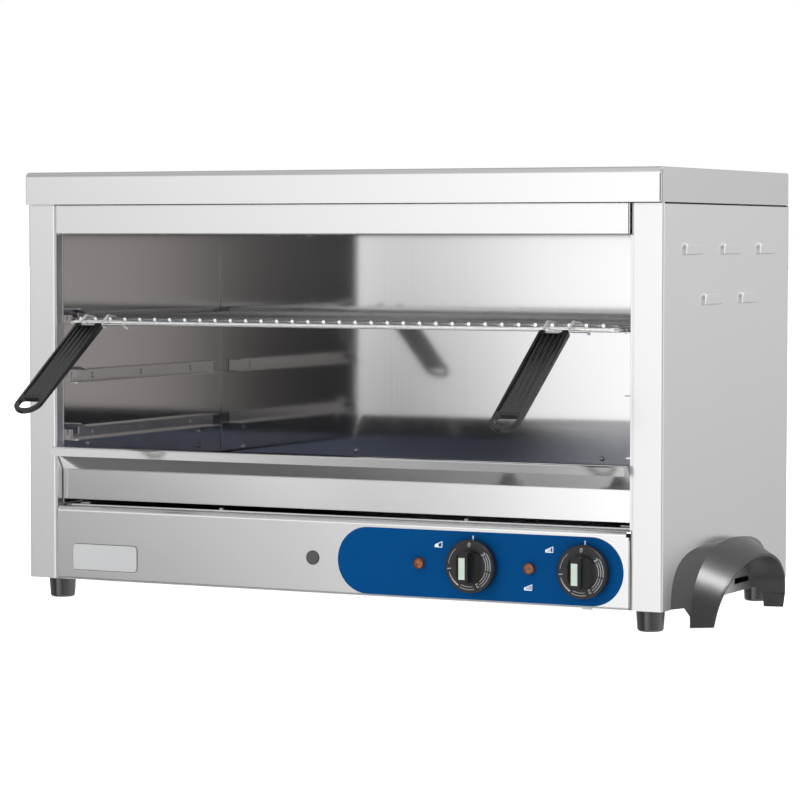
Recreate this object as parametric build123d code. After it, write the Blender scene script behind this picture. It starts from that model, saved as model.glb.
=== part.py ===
from build123d import *
import math
import os

# Open-front electric salamander (cheese melter), millimetres.
# Working frame: X right, Y back from the front face of the posts, Z up from
# the underside of the body.  Every solid is moved by SHIFT at the end, so that
# the stored origin is the middle of the footprint at the height of the table.

# ---------------------------------------------------------------- dimensions
T = 1.0                  # sheet thickness
HW = 400.0               # half width of the body
D = 393.0                # depth of the body, posts to rear sheet
H = 438.0                # height of the side panels
COVER_H = 37.5           # top cover skirt
COVER_OUT = 7.0          # cover overhang in front of the posts
COVER_HW = 399.7
SIDE_H = 436.3           # top edge of the side walls, a gap below the cover
FRONT_BEND = 6.5         # radius of the cover's front top edge
FOOT_H = 24.5            # rubber feet
FOOT_R = 16.0
POST_W = 37.6            # width of the front posts
POST_RET = 14.0          # depth of the post return
CAV = HW - POST_W        # cavity half width, 362.4
CAV_BACK = 387.0         # cavity rear wall, inner face
FASCIA_Z0, FASCIA_Z1 = 403.0, 441.0
PANEL_Z0, PANEL_Z1 = 1.0, 86.0
BAND_Z0, BAND_Z1 = 93.0, 128.5     # crumb tray front band
LIP_Z = 155.5
LIP_Y = -14.5
TRAY_Y = 13.5
RACK_Z = 300.8           # rack frame wire axis
RACK_R = 2.75
CROSS_R = 2.0
CROSS_PITCH = 20.0
CROSS_N = 17             # cross wires either side of the middle
LEVELS = (162.3, 229.8, 297.3)     # underside to top face of the lower ledges
HANDLE_X = (-309.2, 279.2)
HANDLE_ANG = 35.4        # degrees below horizontal at rest
HANDLE_LIFT = (-1.9, 0.0)          # the left one hangs a little higher
HANDLE_LEN = 186.0
HOOK_SP = 15.0           # half spacing of the hook wires
WIRE_R = 1.8
SLEEVE_R = 3.8
KNOB_X = (177.5, 311.0)
CTRL_Z = 39.8
LAMP_X = (111.7, 245.3)
PLUG_X = -22.4
LABEL = (9.7, 355.5, 2.3, 77.3)
BADGE = (-339.8, -253.2, 12.0, 42.0)
ARCH_Y = {1: 179.0, -1: 218.0}     # middle of the side handles, right and left
SHIFT = Vector(0, -125.474, FOOT_H)

os.makedirs("parts", exist_ok=True)
NODES = {}


# ------------------------------------------------------------------- helpers
def box(x0, x1, y0, y1, z0, z1):
    return Pos((x0 + x1) / 2, (y0 + y1) / 2, (z0 + z1) / 2) * Box(abs(x1 - x0), abs(y1 - y0), abs(z1 - z0))


def rod(p, q, r):
    p, q = Vector(*p), Vector(*q)
    d = q - p
    pl = Plane(origin=p, z_dir=d)
    return pl * Cylinder(r, d.length, align=(Align.CENTER, Align.CENTER, Align.MIN))


def outline(pts, radii):
    """Closed planar face through pts, corner i rounded with radii[i]."""
    n = len(pts)
    P = [Vector(*p) for p in pts]
    cor = []
    for i in range(n):
        p0, p1, p2, r = P[i - 1], P[i], P[(i + 1) % n], radii[i]
        if r <= 1e-6:
            cor.append((p1, p1, None))
            continue
        a = (p0 - p1).normalized()
        b = (p2 - p1).normalized()
        ang = math.acos(max(-1.0, min(1.0, a.dot(b))))
        t = r / math.tan(ang / 2)
        c = p1 + (a + b).normalized() * (r / math.sin(ang / 2))
        m = c + (p1 - c).normalized() * r
        cor.append((p1 + a * t, p1 + b * t, m))
    edges = []
    for i in range(n):
        t1, t2, m = cor[i]
        if m is not None:
            edges.append(Edge.make_three_point_arc(t1, m, t2))
        nxt = cor[(i + 1) % n][0]
        if (nxt - t2).length > 1e-5:
            edges.append(Edge.make_line(t2, nxt))
    return Face(Wire(edges))


def strip2d(pts, t, radii):
    """Outline points and corner radii of a bent strip with centreline pts;
    radii are the inside bend radii of the inner points."""
    n = len(pts)
    left, right, rl, rr = [], [], [], []
    for i in range(n):
        dirs = []
        if i > 0:
            dx, dy = pts[i][0] - pts[i - 1][0], pts[i][1] - pts[i - 1][1]
            L = math.hypot(dx, dy)
            dirs.append((dx / L, dy / L))
        if i < n - 1:
            dx, dy = pts[i + 1][0] - pts[i][0], pts[i + 1][1] - pts[i][1]
            L = math.hypot(dx, dy)
            dirs.append((dx / L, dy / L))
        if len(dirs) == 1:
            nx, ny = -dirs[0][1], dirs[0][0]
            k = t / 2
            turn = 0
        else:
            n1 = (-dirs[0][1], dirs[0][0])
            n2 = (-dirs[1][1], dirs[1][0])
            mx, my = n1[0] + n2[0], n1[1] + n2[1]
            m = math.hypot(mx, my)
            nx, ny = mx / m, my / m
            k = (t / 2) / (nx * n1[0] + ny * n1[1])
            turn = dirs[0][0] * dirs[1][1] - dirs[0][1] * dirs[1][0]
        left.append((pts[i][0] + nx * k, pts[i][1] + ny * k))
        right.append((pts[i][0] - nx * k, pts[i][1] - ny * k))
        if len(dirs) == 1:
            rl.append(0.0)
            rr.append(0.0)
        else:
            r = radii[i - 1]
            rl.append(r if turn > 0 else r + t)
            rr.append(r + t if turn > 0 else r)
    return left + right[::-1], rl + rr[::-1]


def strip(pts, t, radii, axis, a, b):
    """Bent sheet: profile in the plane normal to axis, extruded from a to b."""
    o, r = strip2d(pts, t, radii)
    if axis == "x":
        f = outline([(a, u, v) for u, v in o], r)
        d = (b - a, 0, 0)
    elif axis == "y":
        f = outline([(u, a, v) for u, v in o], r)
        d = (0, b - a, 0)
    else:
        f = outline([(u, v, a) for u, v in o], r)
        d = (0, 0, b - a)
    return Solid.extrude(f, Vector(*d))


def prism(pts, radii, axis, a, b):
    if axis == "x":
        f = outline([(a, u, v) for u, v in pts], radii)
        d = (b - a, 0, 0)
    elif axis == "y":
        f = outline([(u, a, v) for u, v in pts], radii)
        d = (0, b - a, 0)
    else:
        f = outline([(u, v, a) for u, v in pts], radii)
        d = (0, 0, b - a)
    return Solid.extrude(f, Vector(*d))


def tube(pts, radii, r):
    path = FilletPolyline(*pts, radius=radii)
    e0 = path.edges()[0]
    sec = Plane(origin=path @ 0, z_dir=path % 0) * Circle(r)
    return sweep(sec, path=path)


def cyl_y(x, z, r, y0, y1):
    return rod((x, y0, z), (x, y1, z), r)


def cyl_x(y, z, r, x0, x1):
    return rod((x0, y, z), (x1, y, z), r)


def cyl_z(x, y, r, z0, z1):
    return rod((x, y, z0), (x, y, z1), r)


def cyl_x_like(x, z, r, y0, y1):
    """Round bar along Y, used to roll a top edge."""
    return rod((x, y0, z), (x, y1, z), r)


def mirx(s):
    return mirror(s, about=Plane.YZ)


def fuse(*parts):
    out = parts[0]
    for p in parts[1:]:
        out = out + p
    return out


def put(name, *solids):
    ss = []
    for s in solids:
        ss += list(s.solids()) if not isinstance(s, Solid) else [s]
    NODES[name] = [s.moved(Location(SHIFT)) for s in ss]


# --------------------------------------------------------------- outer shell
# Top cover: pressed tray, upside down, open slits at its two front corners.
CT = H + COVER_H
cv_out = prism([(-COVER_OUT, H), (D, H), (D, CT), (-COVER_OUT, CT)], [0, 0, 2.4, FRONT_BEND], "x", -COVER_HW, COVER_HW)
for s in (-1, 1):
    end = cv_out.faces().sort_by(Axis.X)[0 if s < 0 else -1]
    cv_out = fillet([e for e in end.edges() if e.center().Z > H + 0.5], 1.6)
cv_in = prism([(-COVER_OUT + T, H - 5), (D - T, H - 5), (D - T, CT - T), (-COVER_OUT + T, CT - T)], [0, 0, 1.4, FRONT_BEND - T],
              "x", -COVER_HW + T, COVER_HW - T)
cover = cv_out - cv_in
for s in (-1, 1):
    cover = cover - box(s * (COVER_HW - 1.4), s * (COVER_HW + 1), -COVER_OUT + 1.7, -COVER_OUT + 3.0, H - 1, CT - 2.8)
# holes for the two screws that hold the rear skirt to the side panels
COVER_SCREW_X, COVER_SCREW_Z = 391.0, H + 12.0
for s in (-1, 1):
    cover = cover - cyl_y(s * COVER_SCREW_X, COVER_SCREW_Z, 2.2, D - 4, D + 4)
put("top_cover", cover)


def side_panel(s):
    """s = +1 right, -1 left.  Built on the right and mirrored."""
    pr = strip([(384, D - 1.5), (HW - 0.5, D - 1.5), (HW - 0.5, 0.5), (CAV + 0.5, 0.5), (CAV + 0.5, POST_RET)],
               T, [1.0, 1.2, 2.6], "z", 0, H + 3.0)
    # the post alone reaches up behind the cover's front skirt
    pr = pr - box(HW - 1.6, HW + 1, -1, 2.2, H - 0.3, H + 4) - box(370, HW + 1, 2.2, D + 1, SIDE_H, H + 4)
    # inward flanges top and bottom
    top = box(386, HW - 0.6, 2.5, D - 1.2, SIDE_H - T, SIDE_H)
    bot = box(386, HW - 0.6, 2.5, D - 3.0, T + 0.05, 2 * T + 0.05)
    p = fuse(pr, top, bot)
    # rolled top edge
    p = p - (box(HW - 1.2, HW + 1, 4.0, D - 3.0, SIDE_H - 1.2, SIDE_H + 1) - cyl_x_like(HW - 1.2, SIDE_H - 1.2, 1.2, 3.0, D - 2.0))
    # upright tabs that the cover rests on, and the rear tab for its screw
    for y in (60.0, 330.0):
        p = p + box(395.9, 397.1, y - 12, y + 12, SIDE_H - 0.5, CT - T - 0.03)
    p = p + (box(384.5, 397.0, D - 2.0, D - T - 0.02, SIDE_H - 2, H + 22) - cyl_y(COVER_SCREW_X, COVER_SCREW_Z, 1.7, D - 4, D))
    # trim the post return above the base sheet
    p = p - box(CAV - 0.5, CAV + 3.6, 1.6, POST_RET + 1, -1, T + 0.15)
    # louvres, open at the bottom
    for yc, zb in ((84.0, 382.3), (199.0, 382.3), (314.0, 382.3), (141.5, 327.0), (256.5, 327.0)):
        o = box(HW - 1, HW + 3.3, yc - 27, yc + 27, zb, zb + 13)
        o = fillet(o.edges().filter_by(Axis.X).sort_by(Axis.Z)[-2:], 9.0)
        outer = [e for e in o.faces().sort_by(Axis.X)[-1].edges() if e.center().Z > zb + 0.5]
        o = fillet(outer, 3.2)
        i = box(HW - 1.5, HW + 2.4, yc - 26, yc + 26, zb - 1, zb + 12)
        i = fillet(i.edges().filter_by(Axis.X).sort_by(Axis.Z)[-2:], 8.0)
        inner = [e for e in i.faces().sort_by(Axis.X)[-1].edges() if e.center().Z > zb - 0.5]
        i = fillet(inner, 2.3)
        p = p - box(HW - 1.5, HW + 0.5, yc - 26, yc + 26, zb, zb + 8) + (o - i)
    # side handle screw holes and the slot between the handle's legs
    yc = ARCH_Y[s]
    for dy in (-124.0, 124.0):
        p = p - cyl_x(yc + dy, 16.0, 2.6, HW - 5, HW + 5)
    p = p - box(HW - 5, HW + 5, yc + 41, yc + 87, 9.0, 15.5)
    return p if s > 0 else mirx(p)


put("side_panel_right", side_panel(1))
put("side_panel_left", side_panel(-1))

# Rear sheet with vent slots, four corner screw holes and the cable hole.
GLAND_X, GLAND_Z, GLAND_HOLE = 330.0, 46.0, 10.3
rear = box(-HW + 0.4, HW - 0.4, D - T, D, 0.0, H - 0.4)
rear = fillet(rear.edges().filter_by(Axis.Y), 1.5)
for k in range(9):
    for z in (24.0, 34.0, 44.0, 54.0):
        x = -360 + k * 66
        if abs(x + 26 - GLAND_X) < 60:
            continue
        rear = rear - box(x, x + 52, D - 3, D + 2, z, z + 4)
for k in range(11):
    x = -346 + k * 66
    rear = rear - box(x - 20, x + 20, D - 3, D + 2, 400, 404)
rear = rear - cyl_y(GLAND_X, GLAND_Z, GLAND_HOLE, D - 4, D + 4)
REAR_SCREWS = [(sx * 392.0, z) for sx in (-1, 1) for z in (20.0, 219.0, 420.0)]
for x, z in REAR_SCREWS:
    rear = rear - cyl_y(x, z, 1.7, D - 4, D + 4)
put("rear_panel", rear)

# Base sheet, notched round the post returns, slotted for cooling air.
base = box(-HW + 1.15, HW - 1.15, 1.15, D - 2.2, 0, T)
for s in (-1, 1):
    base = base - box(s * (CAV - 1), s * (CAV + 2.2), -1, POST_RET + 1.5, -1, 3) - box(s * (CAV - 1), s * (CAV + 4.4), -1, 5.0, -1, 3)
FEET = [(sx * 374.5, y) for sx in (-1, 1) for y in (31.0, 362.0)]
for x, y in FEET:
    base = base - cyl_z(x, y, 2.6, -1, 3)
for k in range(8):
    for y in (120.0, 220.0):
        x = -245 + k * 66
        base = base - box(x, x + 46, y, y + 5, -1, 3)
# small tab bent down behind the front edge
base = base + box(306.0, 318.0, 3.0, 4.0, -1.9, 0.2)
put("base_plate", base)

# Front strip above the cavity.
fascia = strip([(14, FASCIA_Z1 - 0.5), (1.5, FASCIA_Z1 - 0.5), (1.5, FASCIA_Z0 + 0.5), (14, FASCIA_Z0 + 0.5), (14, FASCIA_Z0 + 9)],
               T, [0.7, 0.7, 0.7], "x", -CAV + 0.2, CAV - 3.6)
put("front_fascia", fascia)

# Control panel: bent sheet, 6 mm radius along its top edge, flanges at its ends.
FLOOR_SCREWS = [(sx * 156.0, 28.0) for sx in (-1, 1)]
panel = strip([(16, PANEL_Z0 + 0.5), (0.5, PANEL_Z0 + 0.5), (0.5, PANEL_Z1 - 0.5), (40, PANEL_Z1 - 0.5)],
              T, [0.8, 5.0], "x", -CAV + 0.8, CAV - 1.1)
panel = panel + box(CAV - 2.1, CAV - 1.1, 0.6, 13.0, 1.2, 77.0) + box(-CAV + 0.8, -CAV + 1.8, 0.6, 13.0, 1.2, 77.0)
for x, y in FLOOR_SCREWS:
    panel = panel - cyl_z(x, y, 1.5, 84, 88)
for x in KNOB_X:
    panel = panel - cyl_y(x, CTRL_Z, 6.0, -2, 4)
    for dx in (-14.0, 14.0):
        panel = panel - cyl_y(x + dx, CTRL_Z, 2.2, -2, 4)
for x in LAMP_X:
    panel = panel - cyl_y(x, CTRL_Z, 5.1, -2, 4)
panel = panel - cyl_y(PLUG_X, CTRL_Z, 6.6, -2, 4)
panel = panel - box(CAV - 4.2, CAV, -2, 3, 78.5, 84.0)
put("control_panel", panel)

# Printed control label, laid on the panel.
lx0, lx1, lz0, lz1 = LABEL
lr = (lz1 - lz0) / 2
label = prism([(lx0, lz0), (lx1, lz0), (lx1, lz1), (lx0, lz1)], [lr - 0.01] * 4, "y", -0.6, 0.0)
for x in KNOB_X:
    label = label - cyl_y(x, CTRL_Z, 6.0, -2, 2)
for x in LAMP_X:
    label = label - cyl_y(x, CTRL_Z, 5.1, -2, 2)
put("control_label", label)

bx0, bx1, bz0, bz1 = BADGE
badge = prism([(bx0, bz0), (bx1, bz0), (bx1, bz1), (bx0, bz1)], [4.5] * 4, "y", -1.2, 0.0)
badge = chamfer(badge.faces().sort_by(Axis.Y)[0].edges(), 0.4)
put("badge_plate", badge)

# Snap plug in the spare panel hole.
plug = cyl_y(PLUG_X, CTRL_Z, 8.2, -2.0, 0.0)
plug = fillet(plug.faces().sort_by(Axis.Y)[0].edges(), 1.6)
plug = plug + (cyl_y(PLUG_X, CTRL_Z, 6.45, 0.0, 5.0) - cyl_y(PLUG_X, CTRL_Z, 5.2, 0.8, 6.0))
put("hole_plug", plug)

# ------------------------------------------------------------ cavity liners
liner_r = strip([(376, POST_RET + 1.5), (CAV + 0.5, POST_RET + 1.5), (CAV + 0.5, CAV_BACK - 0.6), (376, CAV_BACK - 0.6)],
                T, [0.8, 0.8], "z", 88.2, 431.8)
for y, z in ((67.6, 156.0), (330.0, 156.0)):
    liner_r = liner_r - cyl_x(y, z, 1.9, CAV - 3, CAV + 3)
# holes that the heater terminals pass through
for y in (150.0, 240.0):
    liner_r = liner_r - cyl_x(y, 413.0, 7.2, CAV - 3, CAV + 3)
put("liner_right", liner_r)
put("liner_left", mirx(liner_r))

back = box(-376, 376, CAV_BACK, CAV_BACK + T, 88.2, 431.8)
for x in (-167.0, 167.0, -330.0, 330.0):
    back = back - cyl_y(x, 134.0, 1.9, CAV_BACK - 3, CAV_BACK + 4)
put("liner_back", back)

# Reflector above the heaters, with the mineral wool that lies on it.
refl = strip([(15.6, 424.0), (15.6, 432.5), (385.5, 432.5), (385.5, 424.0)], T, [1.0, 1.0], "x", -CAV + 1.0, CAV - 1.0)
HEAT_CLIPS = [(sx * x, y) for sx in (-1, 1) for x in (100.0, 285.0) for y in (110.0, 280.0)]
for x, y in HEAT_CLIPS:
    refl = refl - cyl_z(x, y, 2.1, 430, 436)
put("reflector", refl)
wool = box(-372, 372, 20, 384, 433.2, 458.0)
wool = fillet(wool.edges().filter_by(Axis.Z), 10)
for x, y in HEAT_CLIPS:
    wool = wool - cyl_z(x, y, 6.5, 430, 444)
put("insulation", wool)

# Floor of the cavity, over the control compartment.
floor = box(-CAV + 0.4, CAV - 0.4, 18.0, CAV_BACK - 0.4, 86.0, 87.0)
for x, y in FLOOR_SCREWS:
    floor = floor - cyl_z(x, y, 1.9, 84, 88)
put("cavity_floor", floor)
fsc = []
for x, y in FLOOR_SCREWS:
    head = cyl_z(x, y, 3.2, 87.0, 89.4)
    head = fillet(head.faces().sort_by(Axis.Z)[-1].edges(), 1.5)
    fsc.append(fuse(head, cyl_z(x, y, 1.5, 82.0, 87.2)))
put("floor_screws", *fsc)


# ------------------------------------------------------------ rack guides
def guide(zl, s):
    z0, z1 = zl - T, zl + 13.2
    web = box(CAV - T, CAV, 22.0, 366.0, z0, z1 + T)
    web = web - box(CAV - 2, CAV + 1, 21.0, 48.0, z0 + 6, z1 + 2)
    low = box(346.0, CAV - T / 2, 22.0, 366.0, z0, zl)
    low = fillet(low.edges().filter_by(Axis.Z).sort_by(Axis.X)[:2], 3.0)
    up = box(350.0, CAV - T / 2, 48.0, 358.0, z1, z1 + T)
    # flared lead-in at the front of the upper ledge
    flare = prism([(48.5, z1), (48.5, z1 + T), (33.0, z1 + 4.6 + T), (33.0, z1 + 4.6)], [0, 0, 0, 0], "x", 350.0, CAV - 0.2)
    stop = box(355.5, CAV - 0.5, 24.0, 25.2, zl - 0.5, zl + 11.5)
    stop = fillet(stop.edges().filter_by(Axis.Y).sort_by(Axis.Z)[-2:], 1.5)
    g = fuse(web, low, up, flare, stop)
    for y in (78.0, 190.0, 310.0):
        g = g - cyl_x(y, zl + 6.5, 1.7, CAV - 3, CAV + 3)
    return g if s > 0 else mirx(g)


put("rack_guides_right", *[guide(z, 1) for z in LEVELS])
put("rack_guides_left", *[guide(z, -1) for z in LEVELS])


# ------------------------------------------------------------------ rivets
def rivet_x(y, z, s, x, through):
    """Domed rivet whose head sits on the wall's cavity side at x."""
    head = Pos(x, y, z) * Sphere(3.2)
    head = head & box(x - 4, x, y - 4, y + 4, z - 4, z + 4)
    shank = cyl_x(y, z, 1.6, x - 0.4, x + through)
    tail = cyl_x(y, z, 2.8, x + through - 0.05, x + through + 1.4)
    r = fuse(head, shank, tail)
    return r if s > 0 else mirx(r)


rv = []
for s in (-1, 1):
    for y, z in ((67.6, 156.0), (330.0, 156.0)):
        rv.append(rivet_x(y, z, s, CAV, T + 0.05))
for x in (-167.0, 167.0, -330.0, 330.0):
    head = (Pos(x, CAV_BACK, 134.0) * Sphere(3.2)) & box(x - 4, x + 4, CAV_BACK - 4, CAV_BACK, 130, 138)
    rv.append(fuse(head, cyl_y(x, 134.0, 1.6, CAV_BACK - 0.4, CAV_BACK + T + 0.05),
                   cyl_y(x, 134.0, 2.8, CAV_BACK + T, CAV_BACK + T + 1.4)))
put("liner_rivets", *rv)
gr = []
for s in (-1, 1):
    for zl in LEVELS:
        for y in (78.0, 190.0, 310.0):
            x = CAV - T
            head = cyl_x(y, zl + 6.5, 2.9, x - 1.1, x)
            head = fillet(head.faces().sort_by(Axis.X)[0].edges(), 0.8)
            r = fuse(head, cyl_x(y, zl + 6.5, 1.6, x - 0.2, x + T))
            gr.append(r if s > 0 else mirx(r))
put("guide_rivets", *gr)

# ------------------------------------------------------- heating elements
EL_Z, EL_R = 413.0, 4.0


def heater(s):
    """One zone: a tube folded in four runs under half of the reflector."""
    x0, x1 = 26.0, 345.0
    ys = [70.0, 150.0, 240.0, 320.0]
    # tube path: terminal leg, out and back, terminal leg
    pts = [(CAV + 20, ys[1], EL_Z), (x0 + 34, ys[1], EL_Z), (x0 + 34, ys[0], EL_Z), (x1 - 26, ys[0], EL_Z),
           (x1 - 26, ys[0] - 36, EL_Z), (x0, ys[0] - 36, EL_Z), (x0, ys[3] + 36, EL_Z), (x1 - 26, ys[3] + 36, EL_Z),
           (x1 - 26, ys[3], EL_Z), (x0 + 34, ys[3], EL_Z), (x0 + 34, ys[2], EL_Z), (CAV + 20, ys[2], EL_Z)]
    r = 17.0
    h = tube(pts, [r] * (len(pts) - 2), EL_R)
    out = [h]
    return [a if s > 0 else mirx(a) for a in out]


def terminals(s):
    t = []
    for y in (150.0, 240.0):
        f = cyl_x(y, EL_Z, 6.6, CAV - 2.0, CAV + 9.0) - cyl_x(y, EL_Z, EL_R, CAV - 4, CAV + 12)
        w = cyl_x(y, EL_Z, 10.0, CAV - 3.5, CAV - 0.05) - cyl_x(y, EL_Z, EL_R, CAV - 6, CAV + 12)
        f = f + w
        t.append(f if s > 0 else mirx(f))
    return t


def studs(s):
    t = []
    for y in (150.0, 240.0):
        b = fuse(cyl_x(y, EL_Z, 3.6, CAV + 20.0, CAV + 24.0), cyl_x(y, EL_Z, 2.0, CAV + 24.0, CAV + 31.0))
        t.append(b if s > 0 else mirx(b))
    return t


put("heating_element_right", *heater(1))
put("heating_element_left", *heater(-1))
put("element_bushings", *(terminals(1) + terminals(-1)))
put("element_terminals", *(studs(1) + studs(-1)))

# Clips that hang the element tubes from the reflector.
cl = []
for x, y in HEAT_CLIPS:
    yy = 34.0 if y < 200 else 356.0
    ya = 70.0 if y < 200 else 320.0
    bar = box(x - 4, x + 4, min(yy, ya) - 9, max(yy, ya) + 9, EL_Z + EL_R, EL_Z + EL_R + 1.2)
    if y < 200:
        ext = box(x - 4, x + 4, ya, y + 6, EL_Z + EL_R, EL_Z + EL_R + 1.2)
    else:
        ext = box(x - 4, x + 4, y - 6, ya, EL_Z + EL_R, EL_Z + EL_R + 1.2)
    stud = cyl_z(x, y, 1.9, EL_Z + EL_R + 0.6, 440.0)
    nut = cyl_z(x, y, 3.6, 433.0, 436.2)
    ears = []
    for c in (yy, ya):
        o = cyl_x(c, EL_Z, EL_R + 1.2, x - 4, x + 4) - cyl_x(c, EL_Z, EL_R, x - 5, x + 5)
        o = o - box(x - 5, x + 5, c - 3.0, c + 3.0, EL_Z - 9, EL_Z)
        ears.append(o)
    cl.append(fuse(bar, ext, stud, nut, *ears))
put("element_clips", *cl)

# --------------------------------------------------------------- wire rack
RX = 349.4
fpath = FilletPolyline((-RX, 5, RACK_Z), (RX, 5, RACK_Z), (RX, 373, RACK_Z), (-RX, 373, RACK_Z), radius=11, close=True)
frame = sweep(Plane(origin=fpath @ 0, z_dir=fpath % 0) * Circle(RACK_R), path=fpath)
bars = [cyl_x(y, RACK_Z, RACK_R, -RX, RX) for y in (46.0, 190.0, 330.0)]
cz = RACK_Z + RACK_R + CROSS_R - 0.3
wires = []
for k in range(-CROSS_N, CROSS_N):
    x = (k + 0.5) * CROSS_PITCH
    wires.append(cyl_y(x, cz, CROSS_R, 2.4, 376.5))
sleeves = [cyl_x(5, RACK_Z, SLEEVE_R, HANDLE_X[1] - 24, 308.4),
           cyl_x(5, RACK_Z, SLEEVE_R, -RX + 11.2, -272.4)]
rack = frame
for b in bars + sleeves:
    rack = rack + b
rack = rack + wires
put("wire_rack", rack)

# ------------------------------------------------------------ rack handles
ca, sa = math.cos(math.radians(HANDLE_ANG)), math.sin(math.radians(HANDLE_ANG))
OY, OZ = 5.0, RACK_Z                 # pivot: the rack's front wire
HR = 6.9                             # distance of the wires from the pivot
APEX_R = 4.0                         # bend at the top of each hook
BAR_Y = 46.0                         # second bar, which the tails go under
ELBOW = (21.0, 307.4)                # where each tail starts to drop


def hp(s, d):
    """Point at s along the handle and d above its axis through the pivot."""
    return (OY - ca * s - sa * d, OZ - sa * s + ca * d)


def lifted(s, k):
    """Turn a handle piece about the rack's front wire."""
    if abs(HANDLE_LIFT[k]) < 1e-9:
        return s
    return s.rotate(Axis((0, OY, OZ), (1, 0, 0)), HANDLE_LIFT[k])


def handle_wire(c, k):
    out = []
    for sx in (-HOOK_SP, HOOK_SP):
        x = c + sx
        gy0, gz0 = hp(HANDLE_LEN - 32.0, HR)
        # top of the hook: the grip leg's line meets a nearly level line to the elbow
        slope = math.tan(math.radians(-5.0))
        # grip leg line: point hp(0, HR), direction (ca, sa)
        by, bz = hp(0.0, HR)
        t = (ELBOW[1] - bz - slope * (ELBOW[0] - by)) / (sa - slope * ca)
        py, pz = by + ca * t, bz + sa * t
        # tail: passes under the second bar with a small gap
        gap = RACK_R + WIRE_R + 0.5
        dy, dz = BAR_Y - ELBOW[0], RACK_Z - ELBOW[1]
        a2 = math.atan2(dz, dy) - math.asin(gap / math.hypot(dy, dz))
        run = math.hypot(dy, dz) + 3.0
        ey, ez = ELBOW[0] + run * math.cos(a2), ELBOW[1] + run * math.sin(a2)
        out.append(lifted(tube([(x, gy0, gz0), (x, py, pz), (x, ELBOW[0], ELBOW[1]), (x, ey, ez)], [APEX_R, 9.0], WIRE_R), k))
    return out


G0, G1, GW, GT = 15.0, HANDLE_LEN, 17.6, 4.3   # grip start, end, half width, half thickness
G_WEB = 21.5                                   # where the web between the rims starts


def handle_grip(c, k):
    """Moulded grip on the two wires: rims, ribbed hollow, hanging hole, round end."""
    pl = Plane(origin=(c, OY - sa * HR, OZ + ca * HR), x_dir=(1, 0, 0), z_dir=(0, -sa, ca))
    # local: x across, y towards the pivot (up the handle), z out of its face
    def face2(pts, radii, z, h):
        f = outline([(u, v, z) for u, v in pts], radii)
        return Solid.extrude(f, Vector(0, 0, h))
    body = face2([(-GW, -G0), (GW, -G0), (GW, -G1), (-GW, -G1)], [2.0, 2.0, GW - 0.02, GW - 0.02], -GT, 2 * GT)
    body = fillet(body.faces().sort_by(Axis.Z)[-1].edges(), 1.9)
    body = fillet(body.faces().sort_by(Axis.Z)[0].edges(), 1.9)
    # opening between the rims, through which the rod shows
    body = body - face2([(-10.6, -G0 + 8), (10.6, -G0 + 8), (10.6, -G_WEB), (-10.6, -G_WEB)], [0, 0, 3.5, 3.5], -10, 20)
    # hollow of the face between the rims, deepening to the end, ribs standing in it
    ui = GW - 4.4
    hol = face2([(-ui, -G_WEB - 2.0), (ui, -G_WEB - 2.0), (ui, -G1 + 28), (-ui, -G1 + 28)], [2.0] * 4, GT - 2.0, 5)
    body = body - hol
    hol2 = face2([(-ui, -G_WEB - 2.0), (ui, -G_WEB - 2.0), (ui, -G1 + 28), (-ui, -G1 + 28)], [2.0] * 4, -GT - 3, 5)
    body = body - hol2
    RIB_L = 112.0
    for u in (-9.6, -3.2, 3.2, 9.6):
        # each rib sinks into the hollow towards the end of the grip
        a, b = Vector(u, -G_WEB - 3.6, GT - 1.9), Vector(u, -G_WEB - 3.6 - RIB_L, GT - 3.9)
        rib = Plane(origin=a, z_dir=b - a) * Cylinder(2.1, (b - a).length, align=(Align.CENTER, Align.CENTER, Align.MIN))
        body = body + rib + Pos(*a) * Sphere(2.1)
    hole = face2([(-12.8, -G1 + 23.5), (12.8, -G1 + 23.5), (12.8, -G1 + 5.4), (-12.8, -G1 + 5.4)], [4.0, 4.0, 12.0, 12.0], -10, 20)
    body = body - hole
    # the holes that the wires sit in
    for sx in (-HOOK_SP, HOOK_SP):
        body = body - (Plane(origin=(sx, -G0 + 2, 0), z_dir=(0, -1, 0)) * Cylinder(WIRE_R, HANDLE_LEN - 31.9 - G0 + 2.0, align=(Align.CENTER, Align.CENTER, Align.MIN)))
    # local y towards the pivot corresponds to +u direction of the plane
    return lifted(Location(pl) * body, k)


for k, nm in enumerate(("left", "right")):
    put("handle_wire_" + nm, *handle_wire(HANDLE_X[k], k))
    put("handle_grip_" + nm, handle_grip(HANDLE_X[k], k))

# -------------------------------------------------------------- crumb tray
TX = 354.0
nose = strip([(TRAY_Y, BAND_Z0 + 0.5), (TRAY_Y, BAND_Z1), (-3.8, LIP_Z - 0.5), (-11.6, LIP_Z - 0.5), (LIP_Y + 0.5, 145.0)],
             T, [1.5, 1.2, 1.2], "x", -CAV + 1.2, CAV - 1.2)
pan = strip([(TRAY_Y, BAND_Z0 + 12), (TRAY_Y, BAND_Z0 + 0.5), (376.5, BAND_Z0 + 0.5), (376.5, 126.0)], T, [1.2, 1.2], "x", -TX, TX)
walls = [box(s * (TX - T), s * TX, TRAY_Y - 0.3, 376.8, BAND_Z0 + 0.2, 126.0) for s in (-1, 1)]
tray = fuse(pan, nose, *walls)
put("crumb_tray", tray)

tg = strip([(338.0, 87.5), (350.5, 87.5), (350.5, 92.1), (CAV - 0.2, 92.1)], T, [0.6, 0.6], "y", 34.0, 380.0)
put("tray_guides", tg, mirx(tg))

# ------------------------------------------------------------------- knobs
KN_R = 29.3
DIAL_Y = -11.4           # front face of the dial


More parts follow.
